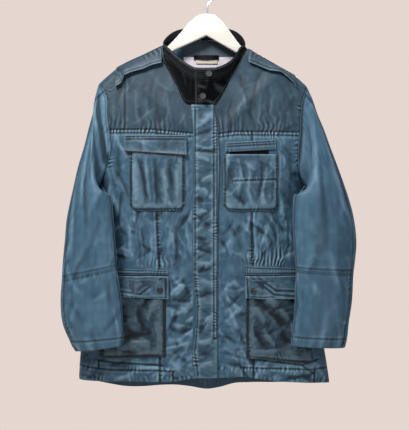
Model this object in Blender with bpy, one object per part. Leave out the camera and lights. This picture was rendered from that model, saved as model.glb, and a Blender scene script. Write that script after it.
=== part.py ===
"""Military parka of waxed cotton, closed and hanging flat on a wooden hanger.

The jacket faces -Y and hangs from the inner top of the hanger's hook, which is
the origin. All tables are in millimetres; meshes are made in metres. Left and
right are the wearer's, so right is on the -X side.
"""
import math

import bmesh
import bpy
import numpy as np
from mathutils import Matrix, Vector

# ---------------------------------------------------------------- driving sizes
MM = 0.001
SHELL = 2.0            # outer cloth with its lining
PATCH = 1.6            # a pocket, flap or band sewn on the shell
SEAM = 0.5             # gap between two pieces that are sewn edge to edge
LIFT = 1.3             # gap between the shell and what lies on it
CENTRE_X = -5.0        # the fronts meet here, under the placket
EDGE_ROUND = 120.0     # how far in from a side seam the front is rounded
TOP_ROUND = 27.0       # how far below the shoulder line the cloth is rounded
BACK_ROUND = 60.0      # the same at the sides of the back

# outline of the shoulders, seen from the front
SHOULDER = [
    # x, z
    (-300, -275), (-262, -240), (-245, -224), (-224, -206), (-211, -196),
    (-183, -182), (-152, -168), (-109, -147), (-60, -120), (0, -98),
    (40, -116), (97, -153), (120, -168), (147, -183), (171, -197),
    (197, -211), (213, -221), (230, -236), (241, -248), (280, -285),
]

# the body under the arms: side seams and depth of front and back
BODY = [
    # z, right_edge, left_edge, seam_y, front, back
    (-90, -300, 280, 0, 24, 24),
    (-200, -300, 280, 0, 27, 28),
    (-285, -297, 276, 2, 38, 38),
    (-350, -292, 270, 8, 42, 43),
    (-400, -281, 259, 15, 43, 46),
    (-440, -268, 244, 20, 43, 47),
    (-484, -258, 231, 24, 42, 48),
    (-602, -270, 240, 26, 40, 47),
    (-690, -280, 250, 26, 38, 46),
    (-743, -286, 257, 25, 37, 46),
    (-876, -306, 283, 21, 36, 44),
    (-990, -312, 300, 18, 36, 42),
]

# the armhole seam of the front and back, seen from the front
ARMHOLE_RIGHT = [
    # z, x
    (-238, -259), (-250, -247), (-274, -236), (-314, -235), (-357, -230), (-393, -227),
    (-434, -236), (-462, -248), (-484, -258),
]
ARMHOLE_LEFT = [
    (-243, 236), (-252, 232), (-274, 224), (-314, 218), (-357, 216), (-393, 212),
    (-434, 214), (-462, 221), (-484, 231),
]
UNDERARM_Z = -484.0
YOKE_SPANS = 7         # rows of quads in a yoke
FRONT_SPANS = (5, 17)  # rows of a front above and below the underarm
BACK_SPANS = (12, 15)  # the same for the back
YOKE_POWER = 1.35      # rows lie closer together at the shoulder
BACK_POWER = 1.25

# the neck seam, from each shoulder to the centre of the front
NECK_RIGHT = [
    # x, z
    (-107, -146), (-105, -180), (-88, -213), (-69, -248), (-51, -284), (-28, -288), (-5, -289),
]
NECK_LEFT = [
    (97, -153), (83, -178), (68, -203), (54, -226), (40, -250), (16, -286), (-5, -289),
]
BACK_NECK_RIGHT = [(-107, -146), (-88, -141), (-60, -134), (-32, -129), (-5, -127)]
BACK_NECK_LEFT = [(97, -153), (76, -145), (50, -136), (22, -130), (-5, -127)]

YOKE_SEAM = [(-300, -347), (-128, -347), (-48, -355), (20, -358), (67, -352), (280, -353)]
FRONT_HEM = [
    (-312, -944), (-260, -942), (-212, -941), (-105, -943), (-80, -941), (-32, -934),
    (6, -934), (80, -930), (163, -941), (230, -945), (270, -948), (300, -953),
]
BACK_HEM = [
    (-312, -945), (-260, -957), (-213, -966), (-67, -965), (-41, -968), (0, -974),
    (28, -970), (66, -960), (104, -958), (200, -957), (300, -954),
]
PRINCESS_RIGHT = [(-347, -116), (-552, -117), (-670, -112), (-943, -110)]
PRINCESS_LEFT = [(-353, 102), (-552, 101), (-670, 104), (-943, 106)]

# the largest folds of the front: a ridge where height is positive
FRONT_FOLDS = [
    # x0, z0, x1, z1, half_width, height
    (-205, -560, -150, -700, 20, 4.0),
    (-128, -548, -146, -690, 15, -3.5),
    (-84, -560, -92, -690, 16, 4.5),
    (-60, -520, -64, -700, 12, -3.5),
    (56, -560, 64, -690, 14, 4.0),
    (82, -556, 90, -700, 11, -3.5),
    (128, -552, 122, -690, 17, 4.5),
    (168, -540, 182, -700, 14, -3.5),
    (-250, -640, -205, -760, 18, 4.0),
    (-190, -740, -230, -930, 20, 4.5),
    (-150, -750, -120, -930, 15, -3.5),
    (-62, -700, -70, -930, 14, 4.5),
    (62, -700, 66, -925, 13, 4.0),
    (120, -750, 175, -900, 17, -4.0),
    (196, -740, 240, -925, 20, 4.5),
    (-190, -215, -70, -330, 16, 3.0),
    (160, -222, 60, -325, 15, 3.0),
    (-215, -470, -140, -540, 16, 3.0),
]
BACK_FOLDS = [
    (-190, -300, -150, -640, 26, 4.5),
    (-110, -240, -90, -560, 22, -3.5),
    (-60, -480, -66, -900, 24, 4.5),
    (44, -420, 60, -880, 24, 4.0),
    (108, -260, 90, -600, 22, -4.0),
    (180, -320, 150, -660, 26, 4.5),
    (-200, -640, -220, -920, 24, 4.0),
    (-140, -660, -150, -930, 20, -4.0),
    (130, -650, 150, -930, 22, -3.5),
    (205, -640, 220, -910, 22, 4.0),
    (-170, -640, 160, -680, 20, -3.0),
]
PLACKET_FOLDS = [
    (-34, -352, 10, -318, 9, 2.0),
    (-34, -398, 24, -408, 8, -2.6),
    (-34, -640, 24, -622, 11, 2.4),
    (-30, -800, 16, -768, 12, 2.4),
]

# each sleeve is rings from the armhole to the cuff: its outer and inner points
# seen from the front, its middle and half depth in Y, and how far the inner
# point stands forward of the middle
SLEEVE_RIGHT = [
    # outer_x, outer_z, inner_x, inner_z, mid_y, half_depth, forward
    (-266, -262, -262, -488, 3, 40, -4),
    (-272, -300, -261, -492, -2, 46, 6),
    (-283, -342, -254, -496, -13, 48, 16),
    (-295, -392, -244, -500, -25, 48, 24),
    (-309, -442, -231, -504, -35, 47, 28),
    (-323, -508, -222, -508, -41, 45, 28),
    (-333, -560, -217, -558, -43, 42, 26),
    (-337, -612, -213, -608, -46, 39, 24),
    (-341, -660, -209, -646, -49, 36, 23),
    (-343, -706, -209, -674, -52, 33, 22),
    (-345, -752, -199, -738, -55, 30, 21),
    (-340, -800, -194, -792, -57, 28, 19),
    (-323, -842, -193, -828, -58, 26, 16),
    (-309, -868, -197, -850, -58, 25, 14),
]
SLEEVE_LEFT = [
    (249, -270, 236, -488, 3, 40, -4),
    (262, -306, 235, -492, -2, 46, 6),
    (278, -344, 228, -496, -11, 49, 16),
    (295, -392, 219, -500, -22, 49, 24),
    (313, -442, 207, -504, -31, 48, 28),
    (335, -508, 200, -508, -36, 46, 28),
    (348, -560, 197, -558, -38, 43, 27),
    (353, -612, 198, -608, -40, 40, 26),
    (350, -652, 201, -648, -42, 37, 25),
    (345, -692, 203, -680, -44, 35, 24),
    (341, -752, 201, -742, -47, 32, 23),
    (333, -802, 198, -794, -49, 30, 21),
    (328, -838, 194, -828, -50, 27, 18),
    (322, -861, 192, -851, -50, 26, 16),
]
SLEEVE_FOLDS = [
    # ring from, to, degrees round from the outer edge to the front, half width, height
    (1.5, 6.0, 100, 22, 3.5),
    (3.0, 8.5, 62, 20, -3.0),
    (6.5, 12.0, 118, 22, 3.5),
    (8.0, 13.0, 70, 20, 3.0),
    (2.0, 7.0, 250, 26, 3.5),
    (7.0, 12.5, 290, 26, -3.0),
]
ELBOW_RING = 9         # the elbow seam is at this ring
SLEEVE_SIDES = 24      # points round a sleeve
OUTER_SEAM = 2         # the outer seam is this many points forward of the outer edge
INNER_SEAM = 11        # the inner seam, just in front of the underarm

# the shoulder flaps' free edges, seen from the front
SHOULDER_FLAP_RIGHT = [
    # x, z
    (-216, -250), (-203, -242), (-194, -222), (-167, -212), (-150, -207), (-134, -199), (-108, -192),
]
SHOULDER_FLAP_LEFT = [
    (208, -252), (201, -240), (188, -229), (172, -217), (147, -212), (119, -199), (97, -190),
]
FLAP_LIFT = 0.8        # gap under the sewn edge of these flaps
FLAP_STAND = 4.5       # how much more the free edge stands off

# collar: the rim's plan is an oval, and its height changes round it
RIM_MIDDLE_X = -6.5
RIM_HALF_WIDTH = 97.0
RIM_FRONT = 58.0
RIM_BACK = 50.0
RIM_HEIGHT = [
    # degrees from the front, right_z, left_z
    (0, -208, -208), (15, -206, -207), (30, -191, -197), (45, -173, -181),
    (60, -157, -156), (75, -146, -146), (90, -136, -136), (112, -118, -118),
    (135, -102, -102), (157, -94, -94), (180, -92, -92),
]
COLLAR_WALL = 2.4
COLLAR_WAIST = 3.0     # how far it draws in between its rim and the neck seam
COLLAR_ROWS = 7
COLLAR_LAP = [
    # column, how far it stands out: the last ones lie over the first
    (0, -0.4), (2, -0.2), (4, 0.0), (38, 0.0), (40, 2.2), (42, 3.9), (46, 3.9),
]

# facing and lining inside the back of the neck
NECK_FACING = {"right": -58, "left": 66, "below_seam": 7.0, "low": -166, "lining_low": -240}
LOOP_ARCH = 3.0        # how far the hanging loop bows out
TAPE = 1.0             # a thin blank tape under the loop

# hanger: a flat piece of wood whose outline is the same on both sides
HANGER_TOP = [
    (0, -69), (18, -71), (30, -80), (44, -93), (58, -112), (74, -132), (90, -150), (104, -164),
    (130, -174), (160, -190), (190, -206), (208, -216), (216, -224),
]
HANGER_LOWER = [(213, -232), (204, -233), (150, -209), (74, -160), (0, -122)]
HANGER_THICK = 12.0
HANGER_TILT = 2.5      # degrees, the wearer's left arm is the lower one
HOOK_WIRE = 3.2
HOOK_RADIUS = 20.0
HOOK_STEM_Z = -50.0    # the stem is straight below this height

COLOURS = {
    # name: red, green, blue, roughness
    "shell": (0.075, 0.125, 0.165, 0.62),
    "collar": (0.012, 0.014, 0.018, 0.75),
    "facing": (0.10, 0.13, 0.16, 0.7),
    "lining": (0.55, 0.52, 0.58, 0.6),
    "tape": (0.62, 0.54, 0.44, 0.7),
    "wood": (0.86, 0.80, 0.72, 0.45),
    "wire": (0.55, 0.55, 0.56, 0.3),
    "snap": (0.02, 0.025, 0.03, 0.4),
}


# ---------------------------------------------------------------- shared maths
def smooth_curve(table, key, value, at):
    """A smooth curve through one column of a table, read at any place."""
    rows = sorted(table, key=lambda row: row[key])
    xs = np.array([row[key] for row in rows], dtype=float)
    ys = np.array([row[value] for row in rows], dtype=float)
    slopes = np.gradient(ys, xs)
    at = np.clip(np.asarray(at, dtype=float), xs[0], xs[-1])
    index = np.clip(np.searchsorted(xs, at) - 1, 0, len(xs) - 2)
    width = xs[index + 1] - xs[index]
    t = (at - xs[index]) / width
    start, end = ys[index], ys[index + 1]
    lean_in, lean_out = slopes[index] * width, slopes[index + 1] * width
    return (
        start * (2 * t ** 3 - 3 * t ** 2 + 1)
        + lean_in * (t ** 3 - 2 * t ** 2 + t)
        + end * (3 * t ** 2 - 2 * t ** 3)
        + lean_out * (t ** 3 - t ** 2)
    )


def straight_curve(table, key, value, at):
    """The same with straight runs between the rows."""
    rows = sorted(table, key=lambda row: row[key])
    return np.interp(at, [row[key] for row in rows], [row[value] for row in rows])


def quarter_round(distance, reach):
    """0 at an edge, 1 past its reach, rising like a quarter of an oval."""
    inside = np.clip(np.asarray(distance) / reach, 0.0, 1.0)
    return np.sqrt(1.0 - (1.0 - inside) ** 2)


def folds_at(table, x, z):
    """Height of all folds of a table at points of the cloth."""
    total = np.zeros(np.broadcast(x, z).shape)
    for x0, z0, x1, z1, half_width, height in table:
        run = math.hypot(x1 - x0, z1 - z0)
        along = ((x - x0) * (x1 - x0) + (z - z0) * (z1 - z0)) / run
        across = ((x - x0) * (z1 - z0) - (z - z0) * (x1 - x0)) / run
        beyond = np.maximum(np.maximum(-along, along - run), 0.0)
        past_end = np.exp(-(beyond / (1.8 * half_width)) ** 2)
        total = total + height * np.exp(-(across / half_width) ** 2) * past_end
    return total


# ---------------------------------------------------------------- body surfaces
def edge_distance(x, z):
    right = smooth_curve(BODY, 0, 1, z)
    left = smooth_curve(BODY, 0, 2, z)
    return np.minimum(x - right, left - x)


def body_round(x, z, edge_reach):
    """How full the body is at a point: 0 on its outline, 1 well inside."""
    drop = straight_curve(SHOULDER, 0, 1, x) - z
    return quarter_round(edge_distance(x, z), edge_reach) * quarter_round(drop, TOP_ROUND)


def seam_y(z):
    return smooth_curve(BODY, 0, 3, z)


def front_y(x, z):
    """Depth of the outer face of the front."""
    full = body_round(x, z, EDGE_ROUND)
    flat = seam_y(z)
    out = flat - (flat + smooth_curve(BODY, 0, 4, z)) * full
    return np.minimum(out - folds_at(FRONT_FOLDS, x, z) * full, flat - SEAM / 2)


def back_y(x, z):
    """Depth of the outer face of the back."""
    full = body_round(x, z, BACK_ROUND)
    flat = seam_y(z)
    out = flat + (smooth_curve(BODY, 0, 5, z) - flat) * full
    return np.maximum(out + folds_at(BACK_FOLDS, x, z) * full, flat + SEAM / 2)


# ---------------------------------------------------------------- walls of cloth
def grid_normals(grid, facing, ring):
    """Unit normals of a grid of points; facing turns them outwards."""
    if ring:
        wide = np.concatenate([grid[:, -1:], grid, grid[:, :1]], axis=1)
        across = (wide[:, 2:] - wide[:, :-2])
    else:
        across = np.gradient(grid, axis=1)
    down = np.gradient(grid, axis=0)
    normals = np.cross(across, down) * facing
    return normals / np.linalg.norm(normals, axis=2, keepdims=True)


def closed_wall(name, outer, inner, material, ring=False):
    """One closed solid between two grids of points, given in millimetres."""
    rows, columns = outer.shape[:2]
    mesh = bpy.data.meshes.new(name)
    work = bmesh.new()
    faces_of = []
    for grid in (outer, inner):
        faces_of.append([[work.verts.new(point * MM) for point in row] for row in grid])
    face_a, face_b = faces_of
    spans = columns if ring else columns - 1
    for i in range(rows - 1):
        for j in range(spans):
            k = (j + 1) % columns
            work.faces.new((face_a[i][j], face_a[i][k], face_a[i + 1][k], face_a[i + 1][j]))
            work.faces.new((face_b[i][j], face_b[i + 1][j], face_b[i + 1][k], face_b[i][k]))
    for j in range(spans):
        k = (j + 1) % columns
        work.faces.new((face_a[0][j], face_b[0][j], face_b[0][k], face_a[0][k]))
        work.faces.new((face_a[-1][j], face_a[-1][k], face_b[-1][k], face_b[-1][j]))
    if not ring:
        for i in range(rows - 1):
            work.faces.new((face_a[i][0], face_a[i + 1][0], face_b[i + 1][0], face_b[i][0]))
            work.faces.new((face_a[i][-1], face_b[i][-1], face_b[i + 1][-1], face_a[i + 1][-1]))
    bmesh.ops.recalc_face_normals(work, faces=work.faces)
    work.to_mesh(mesh)
    work.free()
    return add_piece(name, mesh, material)


def add_piece(name, mesh, material):
    mesh.shade_smooth()
    mesh.set_sharp_from_angle(angle=math.radians(35))
    piece = bpy.data.objects.new(name, mesh)
    bpy.context.collection.objects.link(piece)
    mesh.materials.append(finish(material))
    return piece


def finish(name):
    """The plain finish of one of the materials."""
    material = bpy.data.materials.get(name)
    if material:
        return material
    red, green, blue, rough = COLOURS[name]
    material = bpy.data.materials.new(name)
    material.use_nodes = True
    shader = material.node_tree.nodes["Principled BSDF"]
    shader.inputs["Base Color"].default_value = (red, green, blue, 1.0)
    shader.inputs["Roughness"].default_value = rough
    shader.inputs["Metallic"].default_value = 1.0 if name == "wire" else 0.0
    return material


def body_wall(name, x, z, surface, facing):
    """A panel of the front or back: its points are x and z, its depth the surface."""
    outer = np.stack([x, surface(x, z), z], axis=2)
    normals = grid_normals(outer, facing, False)
    on_seam = np.abs(outer[..., 1] - seam_y(z)) < SEAM
    normals[on_seam, 1] = 0.0
    normals /= np.linalg.norm(normals, axis=2, keepdims=True)
    return closed_wall(name, outer, outer - normals * SHELL, "shell")


def patch_wall(name, x, z, lift, thick=PATCH, material="shell", surface=front_y, facing=-1, extra=None):
    """A piece sewn on a panel: the panel's own points, moved out."""
    base = np.stack([x, surface(x, z), z], axis=2)
    normals = grid_normals(base, facing, False)
    rise = np.zeros(x.shape) if extra is None else extra
    inner = base + normals * (lift + rise)[..., None]
    outer = inner + normals * thick
    return closed_wall(name, outer, inner, material)


# ---------------------------------------------------------------- yokes, fronts, back
def row_heights(top, low, spans, power=1.0):
    return [top + (low - top) * (i / spans) ** power for i in range(spans + 1)]


def rows_past_underarm(top, low, spans, power=1.0):
    """Heights of a panel's rows with one row at the underarm."""
    above, below = spans
    return row_heights(top, UNDERARM_Z, above, power)[:-1] + row_heights(UNDERARM_Z, low, below)


def armhole_table(side):
    return ARMHOLE_RIGHT if side < 0 else ARMHOLE_LEFT


def armhole_x(side, z):
    return float(smooth_curve(armhole_table(side), 0, 1, z)) - side*SEAM/2


def side_x(side):
    """The outer edge of a panel: the armhole above the underarm, the side seam below."""
    def edge(z):
        if z >= UNDERARM_Z:
            return armhole_x(side, z)
        return float(smooth_curve(BODY, 0, 1 if side < 0 else 2, z))
    return edge


def shoulder_z(x):
    return float(straight_curve(SHOULDER, 0, 1, x))


def shoulder_points(side, count):
    """Points of the shoulder seam from the armhole to the neck."""
    outer_x = armhole_x(side, armhole_table(side)[0][0])
    neck_x = NECK_RIGHT[0][0] if side < 0 else NECK_LEFT[0][0]
    return [(x, shoulder_z(x)) for x in outer_x + (neck_x - outer_x) * np.linspace(0, 1, count)]


def panel_points(top_points, lower_z, low_edge_x, heights):
    """Columns that fall from points of the top edge to a lower seam.

    The first column follows the armhole and side seam, the last one the centre;
    the bow of the first column fades out across the panel.
    """
    edge = side_x(-1 if top_points[0][0] < CENTRE_X else 1)
    first_x, last_x = top_points[0][0], top_points[-1][0]
    columns = []
    for top_x, top_z in top_points:
        share = (top_x - first_x) / (last_x - first_x)
        low_x = low_edge_x*(1 - share) + last_x*share
        rows = np.array(heights(top_z, lower_z(low_x)))
        fall = (rows - rows[0]) / (rows[-1] - rows[0])
        columns.append((top_x*(1 - fall) + low_x*fall, rows, share))
    bow = np.array([edge(z) for z in columns[0][1]]) - columns[0][0]
    bow[0] = 0.0
    x = np.stack([straight + bow*(1 - share) for straight, _, share in columns], axis=1)
    return x, np.stack([rows for _, rows, _ in columns], axis=1)


def yoke_z(x):
    return float(straight_curve(YOKE_SEAM, 0, 1, x))


def yoke_heights(top, low):
    return row_heights(top, low, YOKE_SPANS, YOKE_POWER)


def back_heights(top, low):
    return rows_past_underarm(top, low, BACK_SPANS, BACK_POWER)


def top_edge(side, shoulder_count, neck):
    """The top of a panel: along the shoulder seam, then round the neck."""
    points = shoulder_points(side, shoulder_count)[:-1] + [(float(x), float(z)) for x, z in neck]
    points[-1] = (CENTRE_X + side*SEAM/2, points[-1][1])
    return points


def make_yoke(name, side):
    top = top_edge(side, 8, NECK_RIGHT if side < 0 else NECK_LEFT)
    low_edge_x = armhole_x(side, YOKE_SEAM[0][1])
    x, z = panel_points(top, lambda px: yoke_z(px) + SEAM/2, low_edge_x, yoke_heights)
    if side > 0:
        x, z = x[:, ::-1], z[:, ::-1]
    body_wall(name, x, z, front_y, -1)


def make_front(name, side, outer, inner, columns, power):
    """A front panel below the yoke, from its outer seam to its inner one."""
    x = np.zeros((sum(FRONT_SPANS) + 1, columns))
    z = np.zeros(x.shape)
    for j, part in enumerate(np.linspace(0.0, 1.0, columns) ** power):
        x_top = outer(YOKE_SEAM[0][1])*(1 - part) + inner(YOKE_SEAM[0][1])*part
        x_hem = outer(FRONT_HEM[0][1])*(1 - part) + inner(FRONT_HEM[0][1])*part
        hem_z = float(straight_curve(FRONT_HEM, 0, 1, x_hem))
        z[:, j] = rows_past_underarm(yoke_z(x_top) - SEAM/2, hem_z, FRONT_SPANS)
        x[:, j] = [outer(height)*(1 - part) + inner(height)*part for height in z[:, j]]
    if side > 0:
        x, z = x[:, ::-1], z[:, ::-1]
    body_wall(name, x, z, front_y, -1)


def back_hem_z(x):
    return float(smooth_curve(BACK_HEM, 0, 1, x))


def make_back(name, side):
    top = top_edge(side, 7, BACK_NECK_RIGHT if side < 0 else BACK_NECK_LEFT)
    x, z = panel_points(top, back_hem_z, side_x(side)(BACK_HEM[0][1]), back_heights)
    if side > 0:
        x, z = x[:, ::-1], z[:, ::-1]
    body_wall(name, x, z, back_y, 1)


# ---------------------------------------------------------------- sleeves
def armhole_ring(side):
    """The ring where a sleeve meets the body: the panels' own armhole points,
    moved out by a seam's gap. It starts on the shoulder and goes round the front."""
    top_z = shoulder_points(side, 2)[0][1]
    yoke_low = yoke_z(armhole_x(side, YOKE_SEAM[0][1]))
    front = yoke_heights(top_z, yoke_low)[:-1] + row_heights(yoke_low, UNDERARM_Z, FRONT_SPANS[0])
    back = row_heights(top_z, UNDERARM_Z, BACK_SPANS[0], BACK_POWER)
    points = []
    for z in front:
        x = armhole_x(side, z)
        points.append((x + side*2*SEAM, float(front_y(x, z)), z))
    for z in reversed(back[1:-1]):
        x = armhole_x(side, z)
        points.append((x + side*2*SEAM, float(back_y(x, z)), z))
    points[0] = (points[0][0], float(seam_y(top_z)), top_z)
    return points


def sleeve_ring(row):
    outer_x, outer_z, inner_x, inner_z, mid_y, half_depth, forward = row
    points = []
    for k in range(SLEEVE_SIDES):
        angle = 2 * math.pi * k / SLEEVE_SIDES
        out = math.cos(angle)
        deep = math.sin(angle)
        full = math.copysign(abs(deep) ** 0.85, deep)
        x = (outer_x + inner_x) / 2 + (outer_x - inner_x) / 2 * out
        z = (outer_z + inner_z) / 2 + (outer_z - inner_z) / 2 * out
        y = mid_y + forward * out - half_depth * full
        points.append((x, y, z))
    return points


def sleeve_folds():
    """Heights of the sleeve's folds, by ring and by place round it."""
    ring = np.arange(len(SLEEVE_RIGHT) + 1)[:, None]
    degrees = np.arange(SLEEVE_SIDES)[None, :] * 360.0 / SLEEVE_SIDES
    total = np.zeros((len(SLEEVE_RIGHT) + 1, SLEEVE_SIDES))
    for first, last, place, half_width, height in SLEEVE_FOLDS:
        beyond = np.maximum(np.maximum(first - ring, ring - last), 0.0)
        away = np.abs((degrees - place + 180.0) % 360.0 - 180.0)
        total += height * np.exp(-(away / half_width) ** 2) * np.exp(-beyond ** 2)
    total[:2] = 0.0
    return total


def sleeve_rings(side):
    """All rings of a sleeve, the armhole's first."""
    table = SLEEVE_RIGHT if side < 0 else SLEEVE_LEFT
    rings = [armhole_ring(side)] + [sleeve_ring(row) for row in table]
    return np.array(rings)


def sleeve_piece(name, outer, inner, first, last):
    """One lengthwise piece of a sleeve: some of its columns, drawn in by the seam gaps."""
    columns = [k % SLEEVE_SIDES for k in range(first, last + 1)]
    faces = []
    for grid in (outer, inner):
        piece = grid[:, columns].copy()
        for edge, beside in ((0, 1), (-1, -2)):
            inwards = piece[:, beside] - piece[:, edge]
            inwards /= np.linalg.norm(inwards, axis=1, keepdims=True)
            piece[:, edge] += inwards * SEAM / 2
        faces.append(piece)
    closed_wall(name, *faces, "shell")


def make_sleeve(side, word):
    rings = sleeve_rings(side)
    facing = side
    rings = rings + grid_normals(rings, facing, True) * sleeve_folds()[..., None]
    normals = grid_normals(rings, facing, True)
    normals[0, :, 0] = 0.0
    normals[0] /= np.linalg.norm(normals[0], axis=1, keepdims=True)
    inner = rings - normals * SHELL
    cut = ELBOW_RING + 1
    down = rings[cut + 1] - rings[cut]
    step = down / np.linalg.norm(down, axis=1, keepdims=True) * SEAM
    lower, lower_inner = rings[cut:].copy(), inner[cut:].copy()
    lower[0] += step
    lower_inner[0] += step
    halves = (("front", OUTER_SEAM, INNER_SEAM), ("back", INNER_SEAM, OUTER_SEAM + SLEEVE_SIDES))
    for half, first, last in halves:
        sleeve_piece(f"sleeve_upper_{half}_{word}", rings[:cut + 1], inner[:cut + 1], first, last)
        sleeve_piece(f"sleeve_lower_{half}_{word}", lower, lower_inner, first, last)


# ---------------------------------------------------------------- collar
def rim_point(angle, side):
    """A point of the collar's rim, by its angle from the front."""
    turn = math.radians(angle)
    reach = RIM_FRONT if angle < 90 else RIM_BACK
    column = 1 if side < 0 else 2
    x = RIM_MIDDLE_X + side * RIM_HALF_WIDTH * math.sin(turn)
    y = -reach * math.cos(turn)
    return (x, y, float(smooth_curve(RIM_HEIGHT, 0, column, angle)))


def neck_base(points, surface, side):
    """The neck seam in space, moved up and inwards by a seam's gap."""
    base = []
    for x, z in points:
        y = float(surface(x, z))
        base.append((x - side * 1.5 * min(1.0, abs(x - CENTRE_X) / 20.0), y, z + 1.4))
    return base


def between(ends):
    """A list of column ends with one more between each two; the rim's stay on its oval."""
    filled = [ends[0]]
    for (angle, side, base), (next_angle, next_side, next_base) in zip(ends, ends[1:]):
        half_way = tuple((a + b) / 2 for a, b in zip(base, next_base))
        middle_side = side if next_angle in (0, 180) else next_side
        filled.append(((angle + next_angle) / 2, middle_side, half_way))
        filled.append((next_angle, next_side, next_base))
    return filled


def make_collar():
    """A tall stand collar; its left end laps over its right one."""
    front_angles = [90, 75, 60, 45, 30, 14, 0]
    back_angles = [112, 135, 157, 180]
    ends = {}
    for side, front, back in ((-1, NECK_RIGHT, BACK_NECK_RIGHT), (1, NECK_LEFT, BACK_NECK_LEFT)):
        front_base = neck_base(front, front_y, side)
        back_base = neck_base(back[1:], back_y, side)
        fronts = [(angle, side, base) for angle, base in zip(front_angles, front_base)]
        backs = [(angle, side, base) for angle, base in zip(back_angles, back_base)]
        ends[side] = fronts, backs
    right_front, right_back = ends[-1]
    left_front, left_back = ends[1]
    columns = [left_front[5]] + right_front[::-1] + right_back
    columns += left_back[-2::-1] + left_front + [right_front[5]]
    columns = between(columns)
    count = len(columns)
    grid = np.zeros((COLLAR_ROWS, count, 3))
    for j, (angle, side, base) in enumerate(columns):
        rim, base = np.array(rim_point(angle, side)), np.array(base)
        for i in range(COLLAR_ROWS):
            fall = i / (COLLAR_ROWS - 1)
            grid[i, j] = rim * (1 - fall) + base * fall
    normals = grid_normals(grid, 1, False)
    waist = np.sin(np.linspace(0, math.pi, COLLAR_ROWS))[:, None] * COLLAR_WAIST
    lap = np.interp(range(count), [at for at, _ in COLLAR_LAP], [out for _, out in COLLAR_LAP])
    inner = grid + normals * (lap[None, :] - waist)[..., None]
    closed_wall("collar", inner, inner + normals * COLLAR_WALL, "collar")


# ---------------------------------------------------------------- what is sewn on
def both(value):
    """A side or end given once, or as its values at its two ends."""
    return value if isinstance(value, tuple) else (value, value)


def box_grid(right, left, top, bottom, columns, rows):
    """Points of a four-sided piece; a side gives its x at its top and bottom,
    an end its z at its right and left."""
    part = np.linspace(0.0, 1.0, columns)[None, :]
    fall = np.linspace(0.0, 1.0, rows)[:, None]
    right, left, top, bottom = both(right), both(left), both(top), both(bottom)
    from_x = right[0] + (right[1] - right[0]) * fall
    to_x = left[0] + (left[1] - left[0]) * fall
    from_z = top[0] + (top[1] - top[0]) * part
    to_z = bottom[0] + (bottom[1] - bottom[0]) * part
    return from_x * (1 - part) + to_x * part, from_z * (1 - fall) + to_z * fall


def cut_corners(x, z, cut):
    """Pull the lower corners of a pocket in, as its maker cuts them."""
    x, z = x.copy(), z.copy()
    middle = (x.min() + x.max()) / 2
    half = (x.max() - x.min()) / 2
    low = z.min()
    near = np.clip(1 - (z - low) / cut, 0, 1)
    limit = half - cut * near * 0.9
    x = middle + np.clip(x - middle, -limit, limit)
    return x, z


def make_placket():
    """The fly that covers the closing, from the neck seam to the hem."""
    rows = 36
    edges = [
        # z, right_x, left_x
        (-291, -40, 15), (-352, -34, 24), (-590, -34, 24), (-700, -32, 24), (-765, -26, 24),
        (-842, -31, 24), (-872, -35, 24), (-905, -33, 24), (-931, -26, 24),
    ]
    z_row = np.linspace(-292.0, -932.0, rows)
    part = np.linspace(0.0, 1.0, 6)
    right = smooth_curve(edges, 0, 1, z_row)[:, None]
    left = smooth_curve(edges, 0, 2, z_row)[:, None]
    x = right * (1 - part) + left * part
    z = np.repeat(z_row[:, None], len(part), axis=1)
    relief = folds_at(PLACKET_FOLDS, x, z)
    patch_wall("placket", x, z, LIFT, 2.2, extra=np.maximum(relief, -0.4) + 0.4)


def make_chest_right():
    x, z = box_grid(-182, -53, -366, -540, 9, 10)
    x, z = cut_corners(x, z, 15.0)
    patch_wall("chest_pocket_right", x, z, LIFT)
    x, z = box_grid(-194, -49, -363, (-399, -409), 10, 4)
    patch_wall("chest_flap_right", x, z, 2 * LIFT + PATCH, 2.0)


def make_chest_left():
    x, z = box_grid(37, 166, -408, -541, 9, 9)
    x, z = cut_corners(x, z, 15.0)
    patch_wall("chest_pocket_left", x, z, LIFT)
    x, z = box_grid(42, 160, (-381, -374), (-403, -397), 9, 3)
    patch_wall("chest_welt_left", x, z, LIFT, 2.2)


def make_lower(side, word):
    if side < 0:
        pocket = box_grid((-248, -256), -98, -700, (-886, -882), 10, 10)
        flap = box_grid(-250, -91, -693, (-740, -746), 10, 4)
        casing = box_grid(-252, -92, (-674, -680), (-690, -691), 11, 3)
    else:
        pocket = box_grid(91, (222, 250), -700, (-884, -900), 10, 10)
        flap = box_grid(88, 224, -693, (-744, -748), 9, 4)
        casing = box_grid(86, 226, (-669, -676), (-690, -691), 10, 3)
    patch_wall("lower_pocket_" + word, *pocket, LIFT, 2.0)
    patch_wall("lower_flap_" + word, *flap, 2 * LIFT + 2.2, 2.0)
    patch_wall("waist_casing_" + word, *casing, LIFT)


def make_shoulder_flap(side, word):
    """A flap sewn into the shoulder seam, its lower edge free."""
    lower = SHOULDER_FLAP_RIGHT if side < 0 else SHOULDER_FLAP_LEFT
    xs = np.linspace(lower[0][0], lower[-1][0], 12)
    low = straight_curve(lower, 0, 1, xs)
    high = straight_curve(SHOULDER, 0, 1, xs) - 0.6
    rows = 6
    fall = np.linspace(0.0, 1.0, rows)[:, None]
    x = np.tile(xs, (rows, 1))
    z = high * (1 - fall) + low * fall
    if side > 0:
        x, z = x[:, ::-1], z[:, ::-1]
    stand_off = np.repeat(FLAP_STAND * fall ** 2, x.shape[1], axis=1)
    patch_wall("shoulder_flap_" + word, x, z, FLAP_LIFT, PATCH, extra=stand_off)


# ---------------------------------------------------------------- inside the neck
def neck_layer(name, x, z, depth, thick, material, arch=None):
    """A layer inside the back: the back's points moved inwards, so it faces the wearer."""
    patch_wall(name, x, z, -(SHELL + depth + thick), thick, material, back_y, 1, arch)


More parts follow.
